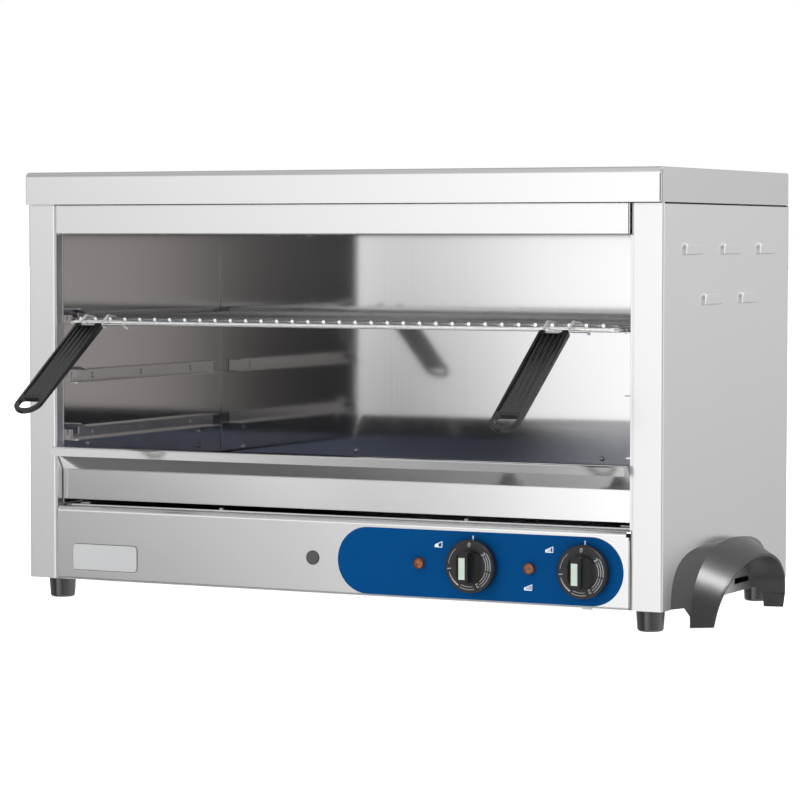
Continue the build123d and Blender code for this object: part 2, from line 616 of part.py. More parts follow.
def knob(x):
    """Round dial, hub with scooped flanks and an upright grip bar."""
    k = cyl_y(x, CTRL_Z, KN_R, DIAL_Y, -2.2)
    k = chamfer(k.faces().sort_by(Axis.Y)[0].edges(), 1.3)
    k = k - cyl_y(x, CTRL_Z, KN_R - 2.4, DIAL_Y + 3.6, -1.0)
    hub = cyl_y(x, CTRL_Z, 18.6, -25.0, DIAL_Y + 0.5)
    hub = fillet(hub.faces().sort_by(Axis.Y)[0].edges(), 1.5)
    for s in (-1, 1):
        sc = cyl_z(x + s * 26.0, -28.5, 19.5, CTRL_Z - 30, CTRL_Z + 30)
        hub = hub - sc
    bar = box(x - 6.5, x + 6.5, -28.6, DIAL_Y + 0.5, CTRL_Z - 18.2, CTRL_Z + 18.2)
    bar = fillet(bar.edges().filter_by(Axis.Y), 3.0)
    bar = fillet(bar.faces().sort_by(Axis.Y)[0].edges(), 1.2)
    k = fuse(k, hub, bar)
    k = k - box(x - 4.3, x + 4.3, -29.6, -27.2, CTRL_Z - 13.2, CTRL_Z + 13.2)
    # bore for the shaft with its flat
    bore = cyl_y(x, CTRL_Z, 3.0, -18.0, -2.0) - box(x - 4, x + 4, -20, -2.0, CTRL_Z + 1.6, CTRL_Z + 4)
    boss = cyl_y(x, CTRL_Z, 5.6, DIAL_Y + 3.0, -3.0)
    k = k + boss
    return k - bore


def knob_insert(x):
    i = box(x - 4.25, x + 4.25, -29.2, -27.2, CTRL_Z - 13.15, CTRL_Z + 13.15)
    return fillet(i.faces().sort_by(Axis.Y)[0].edges(), 0.5)


def shaft(x):
    s = cyl_y(x, CTRL_Z, 3.0, -18.0, 10.0)
    return s - box(x - 4, x + 4, -20, -1.9, CTRL_Z + 1.6, CTRL_Z + 4)


def regulator(x):
    b = box(x - 20, x + 20, 3.0, 38.0, CTRL_Z - 19, CTRL_Z + 19)
    b = fillet(b.edges().filter_by(Axis.Y), 2.0)
    neck = cyl_y(x, CTRL_Z, 5.6, -0.2, 3.2)
    b = b + neck
    b = b - cyl_y(x, CTRL_Z, 3.06, -2, 10.4)
    b = b + box(x - 20, x + 20, 1.0, 3.2, CTRL_Z - 9, CTRL_Z + 9) - cyl_y(x, CTRL_Z, 3.06, -2, 10.4)
    for dx in (-14.0, 14.0):
        b = b - cyl_y(x + dx, CTRL_Z, 1.6, 0.5, 8.0)
    for dx in (-12.0, -4.0, 4.0, 12.0):
        b = b + box(x + dx - 0.4, x + dx + 0.4, 37.5, 46.0, CTRL_Z - 3.15, CTRL_Z + 3.15)
    return b


for nm, x in (("left", KNOB_X[0]), ("right", KNOB_X[1])):
    put("knob_" + nm, knob(x))
    put("knob_insert_" + nm, knob_insert(x))
    put("knob_shaft_" + nm, shaft(x))
    put("regulator_" + nm, regulator(x))

rs = []
for x in KNOB_X:
    for dx in (-14.0, 14.0):
        rs.append(fuse(cyl_y(x + dx, CTRL_Z, 2.1, 0.02, 0.98), cyl_y(x + dx, CTRL_Z, 1.55, 0.9, 7.0)))
put("regulator_screws", *rs)


# ------------------------------------------------------------- pilot lamps
def lamp_lens(x):
    l = cyl_y(x, CTRL_Z, 6.6, -3.4, -0.6)
    l = fillet(l.faces().sort_by(Axis.Y)[0].edges(), 1.8)
    l = l + cyl_y(x, CTRL_Z, 4.9, -0.8, 1.15)
    return l


def lamp_body(x):
    b = fuse(cyl_y(x, CTRL_Z, 6.0, 1.2, 3.0), cyl_y(x, CTRL_Z, 4.7, 2.0, 30.0))
    b = b - cyl_y(x, CTRL_Z, 3.8, 0.5, 26.0)
    for dx in (-2.2, 2.2):
        b = b + box(x + dx - 0.4, x + dx + 0.4, 29.5, 37.0, CTRL_Z - 1.4, CTRL_Z + 1.4)
    return b


for nm, x in (("left", LAMP_X[0]), ("right", LAMP_X[1])):
    put("lamp_lens_" + nm, lamp_lens(x))
    put("lamp_body_" + nm, lamp_body(x))

# ------------------------------------------- terminal block and cable gland
tb = box(250, 296, 340, 366, 1.0, 21.0)
tb = fillet(tb.edges().filter_by(Axis.Z), 1.5)
for k in range(3):
    x = 258 + k * 15
    tb = tb - cyl_z(x, 347, 2.6, 9.0, 22.0) - cyl_z(x, 359, 2.6, 9.0, 22.0)
    tb = tb - cyl_y(x, 8.0, 2.2, 338.0, 345.0) - cyl_y(x, 8.0, 2.2, 361.0, 368.0)
put("terminal_block", tb)

GLAND_BORE = 4.75
gb = fuse(cyl_y(GLAND_X, GLAND_Z, 10.0, D - 12.0, D + 3.0),
          cyl_y(GLAND_X, GLAND_Z, 12.5, D, D + 4.5))
hexg = prism([(GLAND_X + 13.2 * math.cos(math.radians(60 * k + 30)), GLAND_Z + 13.2 * math.sin(math.radians(60 * k + 30))) for k in range(6)],
             [1.0] * 6, "y", D, D + 5.0)
dome = cyl_y(GLAND_X, GLAND_Z, 11.0, D + 5.0, D + 13.5)
dome = fillet(dome.faces().sort_by(Axis.Y)[-1].edges(), 3.0)
gb = fuse(gb, hexg, dome)
gb = gb - cyl_y(GLAND_X, GLAND_Z, GLAND_BORE, D - 20.0, D + 20.0)
put("cable_gland", gb)
nut = prism([(GLAND_X + 14.0 * math.cos(math.radians(60 * k)), GLAND_Z + 14.0 * math.sin(math.radians(60 * k))) for k in range(6)],
            [1.0] * 6, "y", D - 6.0, D - T)
nut = nut - cyl_y(GLAND_X, GLAND_Z, 10.05, D - 10, D + 2)
put("gland_nut", nut)


# -------------------------------------------------- internal wiring looms
def cable(pts, r, rad=8.0):
    return tube(pts, [rad] * (len(pts) - 2), r)


loom = [
    # supply cores from the terminal block to the two regulators
    cable([(265.5, 338.0, 8.0), (265.5, 300.0, 8.0), (230.0, 240.0, 8.0), (210.0, 110.0, 8.0), (204.0, 70.0, 22.0), (181.5, 60.0, 39.8), (181.5, 46.0, 39.8)], 1.7),
    cable([(280.5, 338.0, 8.0), (280.5, 290.0, 8.0), (262.0, 220.0, 8.0), (300.0, 110.0, 8.0), (318.0, 76.0, 24.0), (315.0, 60.0, 39.8), (315.0, 46.0, 39.8)], 1.7),
    # heater leads, up the duct behind each side panel
    cable([(323.0, 46.5, 39.8), (323.0, 62.0, 39.8), (340.0, 90.0, 60.0), (381.0, 100.0, 60.0), (381.0, 110.0, 110.0), (381.0, 140.0, 380.0), (396.0 - 2.0, 150.0, 400.0), (394.0, 150.0, 411.0)], 1.7, 6.0),
    cable([(165.5, 46.5, 39.8), (165.5, 64.0, 39.8), (120.0, 100.0, 60.0), (-340.0, 120.0, 60.0), (-381.0, 124.0, 60.0), (-381.0, 128.0, 110.0), (-381.0, 140.0, 380.0), (-394.0, 150.0, 400.0), (-394.0, 150.0, 411.0)], 1.7, 6.0),
]
put("wiring_loom", *loom)

# -------------------------------------------------------------------- feet
ft = []
for x, y in FEET:
    f = Pos(x, y, -FOOT_H / 2) * Cone(14.2, FOOT_R, FOOT_H)
    f = fillet(f.faces().sort_by(Axis.Z)[0].edges(), 3.4)
    f = f - cyl_z(x, y, 6.0, -FOOT_H - 1, -8.0) - cyl_z(x, y, 2.6, -9.0, 1.0)
    ft.append(f)
put("feet", *ft)
fs = []
for x, y in FEET:
    head = cyl_z(x, y, 4.8, -11.0, -8.0)
    head = fillet(head.faces().sort_by(Axis.Z)[0].edges(), 1.0)
    nutf = prism([(x + 4.9 * math.cos(math.radians(60 * k)), y + 4.9 * math.sin(math.radians(60 * k))) for k in range(6)], [0.3] * 6, "z", T, T + 4.0)
    fs.append(fuse(head, cyl_z(x, y, 2.45, -8.5, T + 6.0), nutf))
put("foot_screws", *fs)


# ------------------------------------------------------------ side handles
def arch_pts(hw, zt, zb, yc, n=14, p=2.5):
    """Super-ellipse arch from (yc-hw, zb) over (yc, zt) to (yc+hw, zb)."""
    out = []
    for i in range(n + 1):
        a = math.pi * (1 - i / n)
        c, s = math.cos(a), math.sin(a)
        y = yc + hw * math.copysign(abs(c) ** (2 / p), c)
        z = zb + (zt - zb) * abs(s) ** (2 / p)
        out.append((y, z))
    return out


ARCH_FOOT = -22.0


def arch_face(hw, zt, x_foot, x_top, yc, drop, p, n=14):
    """Closed face under an arch curve; x leans from x_foot to x_top with height."""
    pts = arch_pts(hw, zt, ARCH_FOOT, yc, n, p)
    def X(z):
        return x_foot + (x_top - x_foot) * max(0.0, (z - ARCH_FOOT) / (zt - ARCH_FOOT))
    P = [Vector(X(z), y, z) for y, z in pts]
    P0 = Vector(x_foot - (x_top - x_foot) * drop / (zt - ARCH_FOOT), pts[0][0], ARCH_FOOT - drop)
    P1 = Vector(x_foot - (x_top - x_foot) * drop / (zt - ARCH_FOOT), pts[-1][0], ARCH_FOOT - drop)
    sp = Edge.make_spline(P, tangents=[Vector(P[1] - P[0]), Vector(P[-1] - P[-2])])
    es = [sp]
    if drop > 0:
        es = [Edge.make_line(P0, P[0]), sp, Edge.make_line(P[-1], P1), Edge.make_line(P1, P0)]
    else:
        es = [sp, Edge.make_line(P[-1], P[0])]
    return Face(Wire(es))


def side_handle(s):
    yc = ARCH_Y[s]
    a = arch_face(154.0, 62.5, 400.0, 400.0, yc, 0, 3.8)
    b = arch_face(126.0, 66.0, 411.0, 413.0, yc, 0, 2.33)
    c = arch_face(112.0, 49.0, 433.0, 446.0, yc, 0, 2.1)
    o1 = Solid.make_loft([a.outer_wire(), b.outer_wire()], True)
    o2 = Solid.make_loft([b.outer_wire(), c.outer_wire()], True)
    ia = arch_face(104.0, 40.0, 398.0, 398.0, yc, 6.0, 2.2)
    ic = arch_face(109.5, 46.4, 433.5, 449.0, yc, 6.0, 2.1)
    inn = Solid.make_loft([ia.outer_wire(), ic.outer_wire()], True)
    h = fuse(o1, o2) - inn
    # the foot of each leg steps up near the body
    wedge = prism([(399.0, 0.2), (399.0, -40.0), (411.6, -40.0), (411.0, -9.5), (407.6, 0.2)], [0] * 5, "y", yc - 170, yc + 170)
    h = h - wedge
    # screw bosses are solid; blind holes in them
    for dy in (-124.0, 124.0):
        h = h - cyl_x(yc + dy, 16.0, 1.8, 398, 406.6)
    return h if s > 0 else mirx(h)


put("side_handle_right", side_handle(1))
put("side_handle_left", side_handle(-1))
sh = []
for s in (-1, 1):
    for dy in (-124.0, 124.0):
        y = ARCH_Y[s] + dy
        head = cyl_x(y, 16.0, 4.4, HW - T - 2.6, HW - T)
        head = fillet(head.faces().sort_by(Axis.X)[0].edges(), 1.0)
        b = fuse(head, cyl_x(y, 16.0, 1.75, HW - T - 0.5, 406.2))
        sh.append(b if s > 0 else mirx(b))
put("side_handle_screws", *sh)

# ------------------------------------------------------------ case screws
def rear_screw(x, z, length):
    head = cyl_y(x, z, 3.5, D, D + 1.8)
    head = fillet(head.faces().sort_by(Axis.Y)[-1].edges(), 1.2)
    b = fuse(head, cyl_y(x, z, 1.65, D - length, D + 0.3))
    return b - box(x - 2.2, x + 2.2, D + 1.0, D + 3, z - 0.4, z + 0.4) - box(x - 0.4, x + 0.4, D + 1.0, D + 3, z - 2.2, z + 2.2)


put("cover_screws", *[rear_screw(s * COVER_SCREW_X, COVER_SCREW_Z, 6.0) for s in (-1, 1)])
put("rear_screws", *[rear_screw(x, z, 0.98) for x, z in REAR_SCREWS])

# ------------------------------------------------------------------ export
lo = [1e9] * 3
hi = [-1e9] * 3
for name, ss in NODES.items():
    comp = Compound(children=[Solid(s.wrapped) for s in ss]) if len(ss) > 1 else ss[0]
    export_step(comp, "parts/" + name + ".step")
    for s in ss:
        bb = s.bounding_box()
        for i, (a, b) in enumerate(((bb.min.X, bb.max.X), (bb.min.Y, bb.max.Y), (bb.min.Z, bb.max.Z))):
            lo[i] = min(lo[i], a)
            hi[i] = max(hi[i], b)
print(len(NODES), "nodes; box", [round(v, 3) for v in lo], [round(v, 3) for v in hi])
print("middle", [round((a + b) / 2, 3) for a, b in zip(lo, hi)])
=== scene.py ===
import bpy
import bmesh
import math
from mathutils import Matrix, Vector


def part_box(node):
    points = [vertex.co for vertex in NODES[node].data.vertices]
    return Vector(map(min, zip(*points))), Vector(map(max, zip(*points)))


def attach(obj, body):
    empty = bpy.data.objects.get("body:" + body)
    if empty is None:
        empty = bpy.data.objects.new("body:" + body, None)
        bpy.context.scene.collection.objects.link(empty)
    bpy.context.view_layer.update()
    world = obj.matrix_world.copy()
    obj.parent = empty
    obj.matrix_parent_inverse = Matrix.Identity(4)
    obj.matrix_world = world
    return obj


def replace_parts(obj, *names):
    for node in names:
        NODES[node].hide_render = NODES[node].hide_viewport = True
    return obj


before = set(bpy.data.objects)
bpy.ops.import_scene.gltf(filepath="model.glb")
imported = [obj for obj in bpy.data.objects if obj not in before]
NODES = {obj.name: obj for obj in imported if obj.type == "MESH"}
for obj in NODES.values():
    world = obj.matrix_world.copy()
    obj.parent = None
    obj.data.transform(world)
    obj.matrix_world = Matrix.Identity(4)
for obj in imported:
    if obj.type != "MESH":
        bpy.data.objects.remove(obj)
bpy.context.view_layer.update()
SC = bpy.context.scene
MM = 0.001
SHIFT = Vector((0.0, -0.125474, 0.0245))     # casing frame (posts' front plane, underside) to the row frame


def W(x, y, z):
    """Point of the casing frame, in millimetres, to metres in the row frame."""
    return Vector((x * MM, y * MM, z * MM)) + SHIFT


# ------------------------------------------------------------------ camera
def make_camera():
    yaw, pitch, roll = 0.46259072, 0.04997116, 0.00097028
    cy, sy = math.cos(yaw), math.sin(yaw)
    fwd = Vector((-sy * math.cos(pitch), cy * math.cos(pitch), -math.sin(pitch)))
    right = Vector((cy, sy, 0.0))
    up = right.cross(fwd)
    c, s = math.cos(roll), math.sin(roll)
    r2 = c * right + s * up
    u2 = -s * right + c * up
    cam_data = bpy.data.cameras.new("camera")
    cam = bpy.data.objects.new("camera", cam_data)
    SC.collection.objects.link(cam)
    cam_data.sensor_width = 36.0
    cam_data.lens = 3186.49851177 / 800.0 * 36.0
    cam_data.clip_start = 0.1
    cam_data.clip_end = 200.0
    loc = W(1661.2973, -3156.5022, 396.4184)
    m = Matrix.Identity(4)
    for i in range(3):
        m[i][0], m[i][1], m[i][2], m[i][3] = r2[i], u2[i], -fwd[i], loc[i]
    cam.matrix_world = m
    SC.camera = cam


make_camera()
SC.view_settings.view_transform = "Standard"


# --------------------------------------------------------------- materials
class Mat:
    """Small helper around a node tree with one Principled shader."""

    def __init__(self, name):
        self.mat = bpy.data.materials.new(name)
        self.mat.use_nodes = True
        self.nt = self.mat.node_tree
        self.nt.nodes.clear()
        self.out = self.nt.nodes.new("ShaderNodeOutputMaterial")
        self.bsdf = self.nt.nodes.new("ShaderNodeBsdfPrincipled")
        self.nt.links.new(self.bsdf.outputs[0], self.out.inputs[0])
        self.tc = self.nt.nodes.new("ShaderNodeTexCoord")

    def n(self, kind, **kw):
        node = self.nt.nodes.new(kind)
        for k, v in kw.items():
            setattr(node, k, v)
        return node

    def link(self, a, b):
        self.nt.links.new(a, b)

    def set(self, **kw):
        for k, v in kw.items():
            self.bsdf.inputs[k.replace("_", " ")].default_value = v
        return self

    def coords(self, scale=(1, 1, 1), rot=(0, 0, 0)):
        mp = self.n("ShaderNodeMapping")
        mp.inputs["Scale"].default_value = scale
        mp.inputs["Rotation"].default_value = rot
        self.link(self.tc.outputs["Object"], mp.inputs["Vector"])
        return mp.outputs[0]

    def noise(self, vec, scale=5.0, detail=3.0, rough=0.55):
        t = self.n("ShaderNodeTexNoise")
        t.inputs["Scale"].default_value = scale
        t.inputs["Detail"].default_value = detail
        t.inputs["Roughness"].default_value = rough
        self.link(vec, t.inputs["Vector"])
        return t.outputs["Fac"]

    def rng(self, fac, a, b, lo=0.0, hi=1.0):
        m = self.n("ShaderNodeMapRange")
        m.inputs["From Min"].default_value = lo
        m.inputs["From Max"].default_value = hi
        m.inputs["To Min"].default_value = a
        m.inputs["To Max"].default_value = b
        self.link(fac, m.inputs["Value"])
        return m.outputs[0]

    def ramp(self, fac, stops):
        r = self.n("ShaderNodeValToRGB")
        el = r.color_ramp.elements
        while len(el) < len(stops):
            el.new(0.5)
        for e, (p, c) in zip(el, stops):
            e.position = p
            e.color = (*c, 1.0)
        self.link(fac, r.inputs[0])
        return r.outputs[0]

    def bump(self, fac, strength, dist=0.0005):
        b = self.n("ShaderNodeBump")
        b.inputs["Strength"].default_value = strength
        b.inputs["Distance"].default_value = dist
        self.link(fac, b.inputs["Height"])
        self.link(b.outputs[0], self.bsdf.inputs["Normal"])
        return b

    def mul(self, a, b):
        m = self.n("ShaderNodeMath", operation="MULTIPLY")
        self.link(a, m.inputs[0])
        if hasattr(b, "links"):
            self.link(b, m.inputs[1])
        else:
            m.inputs[1].default_value = b
        return m.outputs[0]

    def add(self, a, b):
        m = self.n("ShaderNodeMath", operation="ADD")
        self.link(a, m.inputs[0])
        if hasattr(b, "links"):
            self.link(b, m.inputs[1])
        else:
            m.inputs[1].default_value = b
        return m.outputs[0]


def steel(name, base, rough, grain=(1.5, 420, 420), var=0.03, rvar=0.05, bump=0.02, scale=1.0, smudge=0.02):
    """Rolled stainless sheet: long fine grain, faint cloudy patches, tiny waviness."""
    m = Mat(name)
    g = m.noise(m.coords(grain), scale, 4.0, 0.6)
    c = m.noise(m.coords((1, 1, 1)), 7.0, 3.0, 0.5)
    tone = m.add(m.rng(g, -var, var), m.rng(c, -smudge, smudge))
    lo = tuple(max(0.0, b * (1 - 4 * (var + smudge))) for b in base)
    hi = tuple(min(1.0, b * (1 + 4 * (var + smudge))) for b in base)
    f = m.rng(tone, 0.0, 1.0, -4 * (var + smudge) / 2, 4 * (var + smudge) / 2)
    m.link(m.ramp(f, [(0.0, lo), (1.0, hi)]), m.bsdf.inputs["Base Color"])
    r = m.add(m.rng(g, rough - rvar, rough + rvar), m.rng(c, -rvar * 0.4, rvar * 0.4))
    m.link(r, m.bsdf.inputs["Roughness"])
    m.set(Metallic=1.0)
    if bump:
        m.bump(g, bump, 0.0002)
    return m.mat


def plastic(name, base, rough, var=0.12, rvar=0.06, scale=900.0, bump=0.12, dist=0.00012, coat=0.0, coat_rough=0.1, spec=0.5):
    """Moulded plastic: faint speckle in the colour, fine texture of the mould."""
    m = Mat(name)
    fine = m.noise(m.coords(), scale, 2.0, 0.6)
    big = m.noise(m.coords(), 18.0, 3.0, 0.5)
    lo = tuple(b * (1 - var) for b in base)
    hi = tuple(min(1.0, b * (1 + var)) for b in base)
    m.link(m.ramp(m.rng(m.add(fine, big), 0.0, 1.0, 0.6, 1.4), [(0.0, lo), (1.0, hi)]), m.bsdf.inputs["Base Color"])
    m.link(m.add(m.rng(fine, rough - rvar * 0.5, rough + rvar * 0.5), m.rng(big, -rvar, rvar)), m.bsdf.inputs["Roughness"])
    m.set(Metallic=0.0)
    m.bsdf.inputs["Coat Weight"].default_value = coat
    m.bsdf.inputs["Coat Roughness"].default_value = coat_rough
    m.bsdf.inputs["Specular IOR Level"].default_value = spec
    if bump:
        m.bump(fine, bump, dist)
    return m.mat


def metal_small(name, base, rough, scale=300.0, var=0.08):
    """Turned, plated or cast small metal parts."""
    m = Mat(name)
    a = m.noise(m.coords(), scale, 3.0, 0.6)
    lo = tuple(b * (1 - var) for b in base)
    hi = tuple(min(1.0, b * (1 + var)) for b in base)
    m.link(m.ramp(m.rng(a, 0.0, 1.0, 0.3, 0.7), [(0.0, lo), (1.0, hi)]), m.bsdf.inputs["Base Color"])
    m.link(m.rng(a, rough * 0.8, rough * 1.25, 0.3, 0.7), m.bsdf.inputs["Roughness"])
    m.set(Metallic=1.0)
    m.bump(a, 0.03, 0.0001)
    return m.mat


def galvanised(name):
    m = Mat(name)
    v = m.n("ShaderNodeTexVoronoi")
    v.inputs["Scale"].default_value = 90.0
    m.link(m.coords(), v.inputs["Vector"])
    m.link(m.ramp(v.outputs["Distance"], [(0.0, (0.52, 0.54, 0.55)), (0.6, (0.62, 0.64, 0.65)), (1.0, (0.70, 0.72, 0.73))]), m.bsdf.inputs["Base Color"])
    m.link(m.rng(v.outputs["Distance"], 0.32, 0.48), m.bsdf.inputs["Roughness"])
    m.set(Metallic=0.9)
    return m.mat


M = {}
M["cover"] = steel("steel_cover", (0.86, 0.86, 0.86), 0.25, var=0.004, rvar=0.012, bump=0.002, smudge=0.006)
M["side"] = steel("steel_side", (0.93, 0.93, 0.932), 0.32, grain=(420, 1.5, 420), var=0.003, rvar=0.010, bump=0.001, smudge=0.004)
M["panel"] = steel("steel_panel", (0.86, 0.86, 0.86), 0.24, var=0.003, rvar=0.012, bump=0.002, smudge=0.006)
def liner_steel(name, *args, **kw):
    """Bright liner sheet, wiped duller low down towards the right."""
    mat = steel(name, *args, **kw)
    nt = mat.node_tree
    bsdf = nt.nodes["Principled BSDF"]
    tc = nt.nodes.new("ShaderNodeTexCoord")
    sp = nt.nodes.new("ShaderNodeSeparateXYZ")
    nt.links.new(tc.outputs["Object"], sp.inputs[0])

    def mask(sock, lo, hi):
        m = nt.nodes.new("ShaderNodeMapRange")
        m.inputs["From Min"].default_value = lo
        m.inputs["From Max"].default_value = hi
        nt.links.new(sock, m.inputs["Value"])
        return m.outputs[0]

    def op(kind, a, b):
        m = nt.nodes.new("ShaderNodeMath")
        m.operation = kind
        nt.links.new(a, m.inputs[0])
        if isinstance(b, float):
            m.inputs[1].default_value = b
        else:
            nt.links.new(b, m.inputs[1])
        return m.outputs[0]

    old = bsdf.inputs["Roughness"].links[0].from_socket
    wiped = op("MULTIPLY", op("MULTIPLY", mask(sp.outputs[0], 0.03, 0.21), mask(sp.outputs[2], 0.206, 0.194)), 0.21)
    nt.links.new(op("ADD", old, wiped), bsdf.inputs["Roughness"])
    return mat


M["liner"] = liner_steel("steel_liner", (0.63, 0.63, 0.635), 0.065, grain=(300, 300, 1.2), var=0.008, rvar=0.012, bump=0.003, smudge=0.012)


def tray_steel(name):
    """Bright sheet whose inside carries a bluish heat tint, fading out at the front lip."""
    m = Mat(name)
    g = m.noise(m.coords((1.5, 300, 300)), 1.0, 4.0, 0.6)
    c = m.noise(m.coords((6, 6, 20)), 1.0, 4.0, 0.6)
    sp = m.n("ShaderNodeSeparateXYZ")
    m.link(m.tc.outputs["Object"], sp.inputs[0])
    inside = m.rng(sp.outputs[1], 0.0, 1.0, -0.1119, -0.1109)
    tint = m.ramp(c, [(0.0, (0.50, 0.54, 0.68)), (0.45, (0.66, 0.70, 0.84)), (1.0, (0.82, 0.86, 0.95))])
    plain = m.ramp(m.rng(sp.outputs[0], 0.0, 1.0, 0.08, 0.30), [(0.0, (0.89, 0.89, 0.89)), (1.0, (0.77, 0.77, 0.77))])
    mix = m.n("ShaderNodeMix", data_type="RGBA")
    m.link(inside, mix.inputs[0])
    m.link(plain, mix.inputs[6])
    m.link(tint, mix.inputs[7])
    m.link(mix.outputs[2], m.bsdf.inputs["Base Color"])
    m.link(m.add(m.add(m.rng(g, 0.11, 0.13), m.rng(c, -0.02, 0.03)), m.mul(inside, 0.10)), m.bsdf.inputs["Roughness"])
    right = m.rng(sp.outputs[0], 0.0, 1.0, -0.24, 0.12)
    m.link(m.add(m.rng(inside, 0.96, 0.79), m.mul(m.mul(inside, right), -0.52)), m.bsdf.inputs["Metallic"])
    m.bump(g, 0.003, 0.0002)
    return m.mat


M["tray"] = tray_steel("steel_tray")
M["guide"] = steel("steel_guide", (0.76, 0.752, 0.745), 0.18, grain=(300, 1.5, 300), var=0.01, rvar=0.02, bump=0.004)
M["guide"].node_tree.nodes["Principled BSDF"].inputs["Metallic"].default_value = 0.93
M["galv"] = galvanised("galvanised_sheet")
M["chrome"] = metal_small("chrome_wire", (0.93, 0.93, 0.915), 0.20, 220.0, 0.03)
M["chrome"].node_tree.nodes["Principled BSDF"].inputs["Metallic"].default_value = 0.92
M["wire"] = metal_small("handle_wire_steel", (0.95, 0.95, 0.93), 0.12, 220.0, 0.02)
M["wire"].node_tree.nodes["Principled BSDF"].inputs["Metallic"].default_value = 0.62
M["zinc"] = metal_small("zinc_steel", (0.66, 0.66, 0.64), 0.28)
M["rivet"] = metal_small("rivet_metal", (0.80, 0.80, 0.80), 0.22)
M["brass"] = metal_small("terminal_brass", (0.75, 0.58, 0.28), 0.3)
M["sheath"] = metal_small("heater_sheath", (0.16, 0.13, 0.11), 0.5, 160.0, 0.25)
M["badge"] = steel("badge_plate", (0.43, 0.435, 0.44), 0.42, grain=(2, 700, 700), var=0.02, bump=0.02)
M["badge"].node_tree.nodes["Principled BSDF"].inputs["Metallic"].default_value = 0.35
M["grip"] = plastic("grip_phenolic", (0.005, 0.005, 0.0056), 0.27, rvar=0.04, bump=0.03, coat=0.5, coat_rough=0.07, spec=0.4)
M["knob"] = plastic("knob_phenolic", (0.0095, 0.0093, 0.0093), 0.38, rvar=0.06, bump=0.06)
def blacker_bar(mat):
    """The standing grip bar of the knob is a deeper, glossier black than its dial plate."""
    nt = mat.node_tree
    bsdf = nt.nodes["Principled BSDF"]
    tc = nt.nodes.new("ShaderNodeTexCoord")
    sp = nt.nodes.new("ShaderNodeSeparateXYZ")
    nt.links.new(tc.outputs["Object"], sp.inputs[0])
    m = nt.nodes.new("ShaderNodeMapRange")
    m.inputs["From Min"].default_value = -0.1384
    m.inputs["From Max"].default_value = -0.1376
    m.inputs["To Min"].default_value = 0.22
    m.inputs["To Max"].default_value = 1.0
    nt.links.new(sp.outputs[1], m.inputs["Value"])
    old = bsdf.inputs["Base Color"].links[0].from_socket
    mix = nt.nodes.new("ShaderNodeMix")
    mix.data_type = "RGBA"
    mix.inputs[6].default_value = (0.0012, 0.0012, 0.0012, 1.0)
    nt.links.new(m.outputs[0], mix.inputs[0])
    nt.links.new(old, mix.inputs[7])
    nt.links.new(mix.outputs[2], bsdf.inputs["Base Color"])


blacker_bar(M["knob"])
M["mint"] = plastic("mint_insert", (0.36, 0.42, 0.37), 0.4, var=0.04, bump=0.04)
M["nylon"] = plastic("black_nylon", (0.045, 0.045, 0.047), 0.5)
M["grey"] = plastic("grey_polyamide", (0.30, 0.31, 0.32), 0.5)
M["ceramic"] = plastic("white_ceramic", (0.78, 0.77, 0.73), 0.22, var=0.04, bump=0.03, coat=0.3)
M["handle"] = plastic("handle_plastic", (0.020, 0.020, 0.020), 0.33, rvar=0.04, scale=1500.0, bump=0.10, dist=0.0001)
M["rubber"] = plastic("foot_rubber", (0.010, 0.010, 0.010), 0.28, bump=0.08, spec=1.0, coat=1.0, coat_rough=0.22)
M["silicone"] = plastic("silicone_sleeve", (0.45, 0.09, 0.05), 0.6, bump=0.2)
M["wool"] = plastic("mineral_wool", (0.34, 0.32, 0.25), 0.95, var=0.25, scale=240.0, bump=0.8, dist=0.0015, spec=0.1)
M["label"] = plastic("label_film", (0.0004, 0.0405, 0.138), 0.40, var=0.03, rvar=0.03, scale=1200.0, bump=0.02, spec=0.02)
M["marks"] = plastic("printed_marks", (0.56, 0.60, 0.66), 0.45, var=0.03, bump=0.02)
# painted shadow: a near-black strip material that stands in for the shade inside narrow gaps, round the badge and
# along the cover
M["seam"] = plastic("dark_seam", (0.035, 0.035, 0.036), 0.7, spec=0.1)
M["dialmarks"] = plastic("dial_marks", (0.27, 0.27, 0.275), 0.5, var=0.04, bump=0.02)


def amber(name):
    m = Mat(name)
    v = m.n("ShaderNodeTexVoronoi")
    v.inputs["Scale"].default_value = 230.0
    m.link(m.coords(), v.inputs["Vector"])
    m.link(m.ramp(v.outputs["Distance"], [(0.0, (0.012, 0.003, 0.001)), (0.22, (0.060, 0.014, 0.003)), (0.5, (0.15, 0.042, 0.008)), (1.0, (0.26, 0.085, 0.018))]), m.bsdf.inputs["Base Color"])
    m.link(m.rng(v.outputs["Distance"], 0.12, 0.22), m.bsdf.inputs["Roughness"])
    m.bsdf.inputs["Subsurface Weight"].default_value = 0.15
    m.bsdf.inputs["Subsurface Radius"].default_value = (0.004, 0.0015, 0.0005)
    m.bsdf.inputs["Subsurface Scale"].default_value = 1.0
    m.bsdf.inputs["Coat Weight"].default_value = 0.6
    m.bsdf.inputs["Coat Roughness"].default_value = 0.05
    m.bump(v.outputs["Distance"], 0.2, 0.0002)
    return m.mat


M["amber"] = amber("amber_lens")
M["amber_dark"] = plastic("amber_rim", (0.030, 0.009, 0.004), 0.25, var=0.2, bump=0.05, coat=0.4)

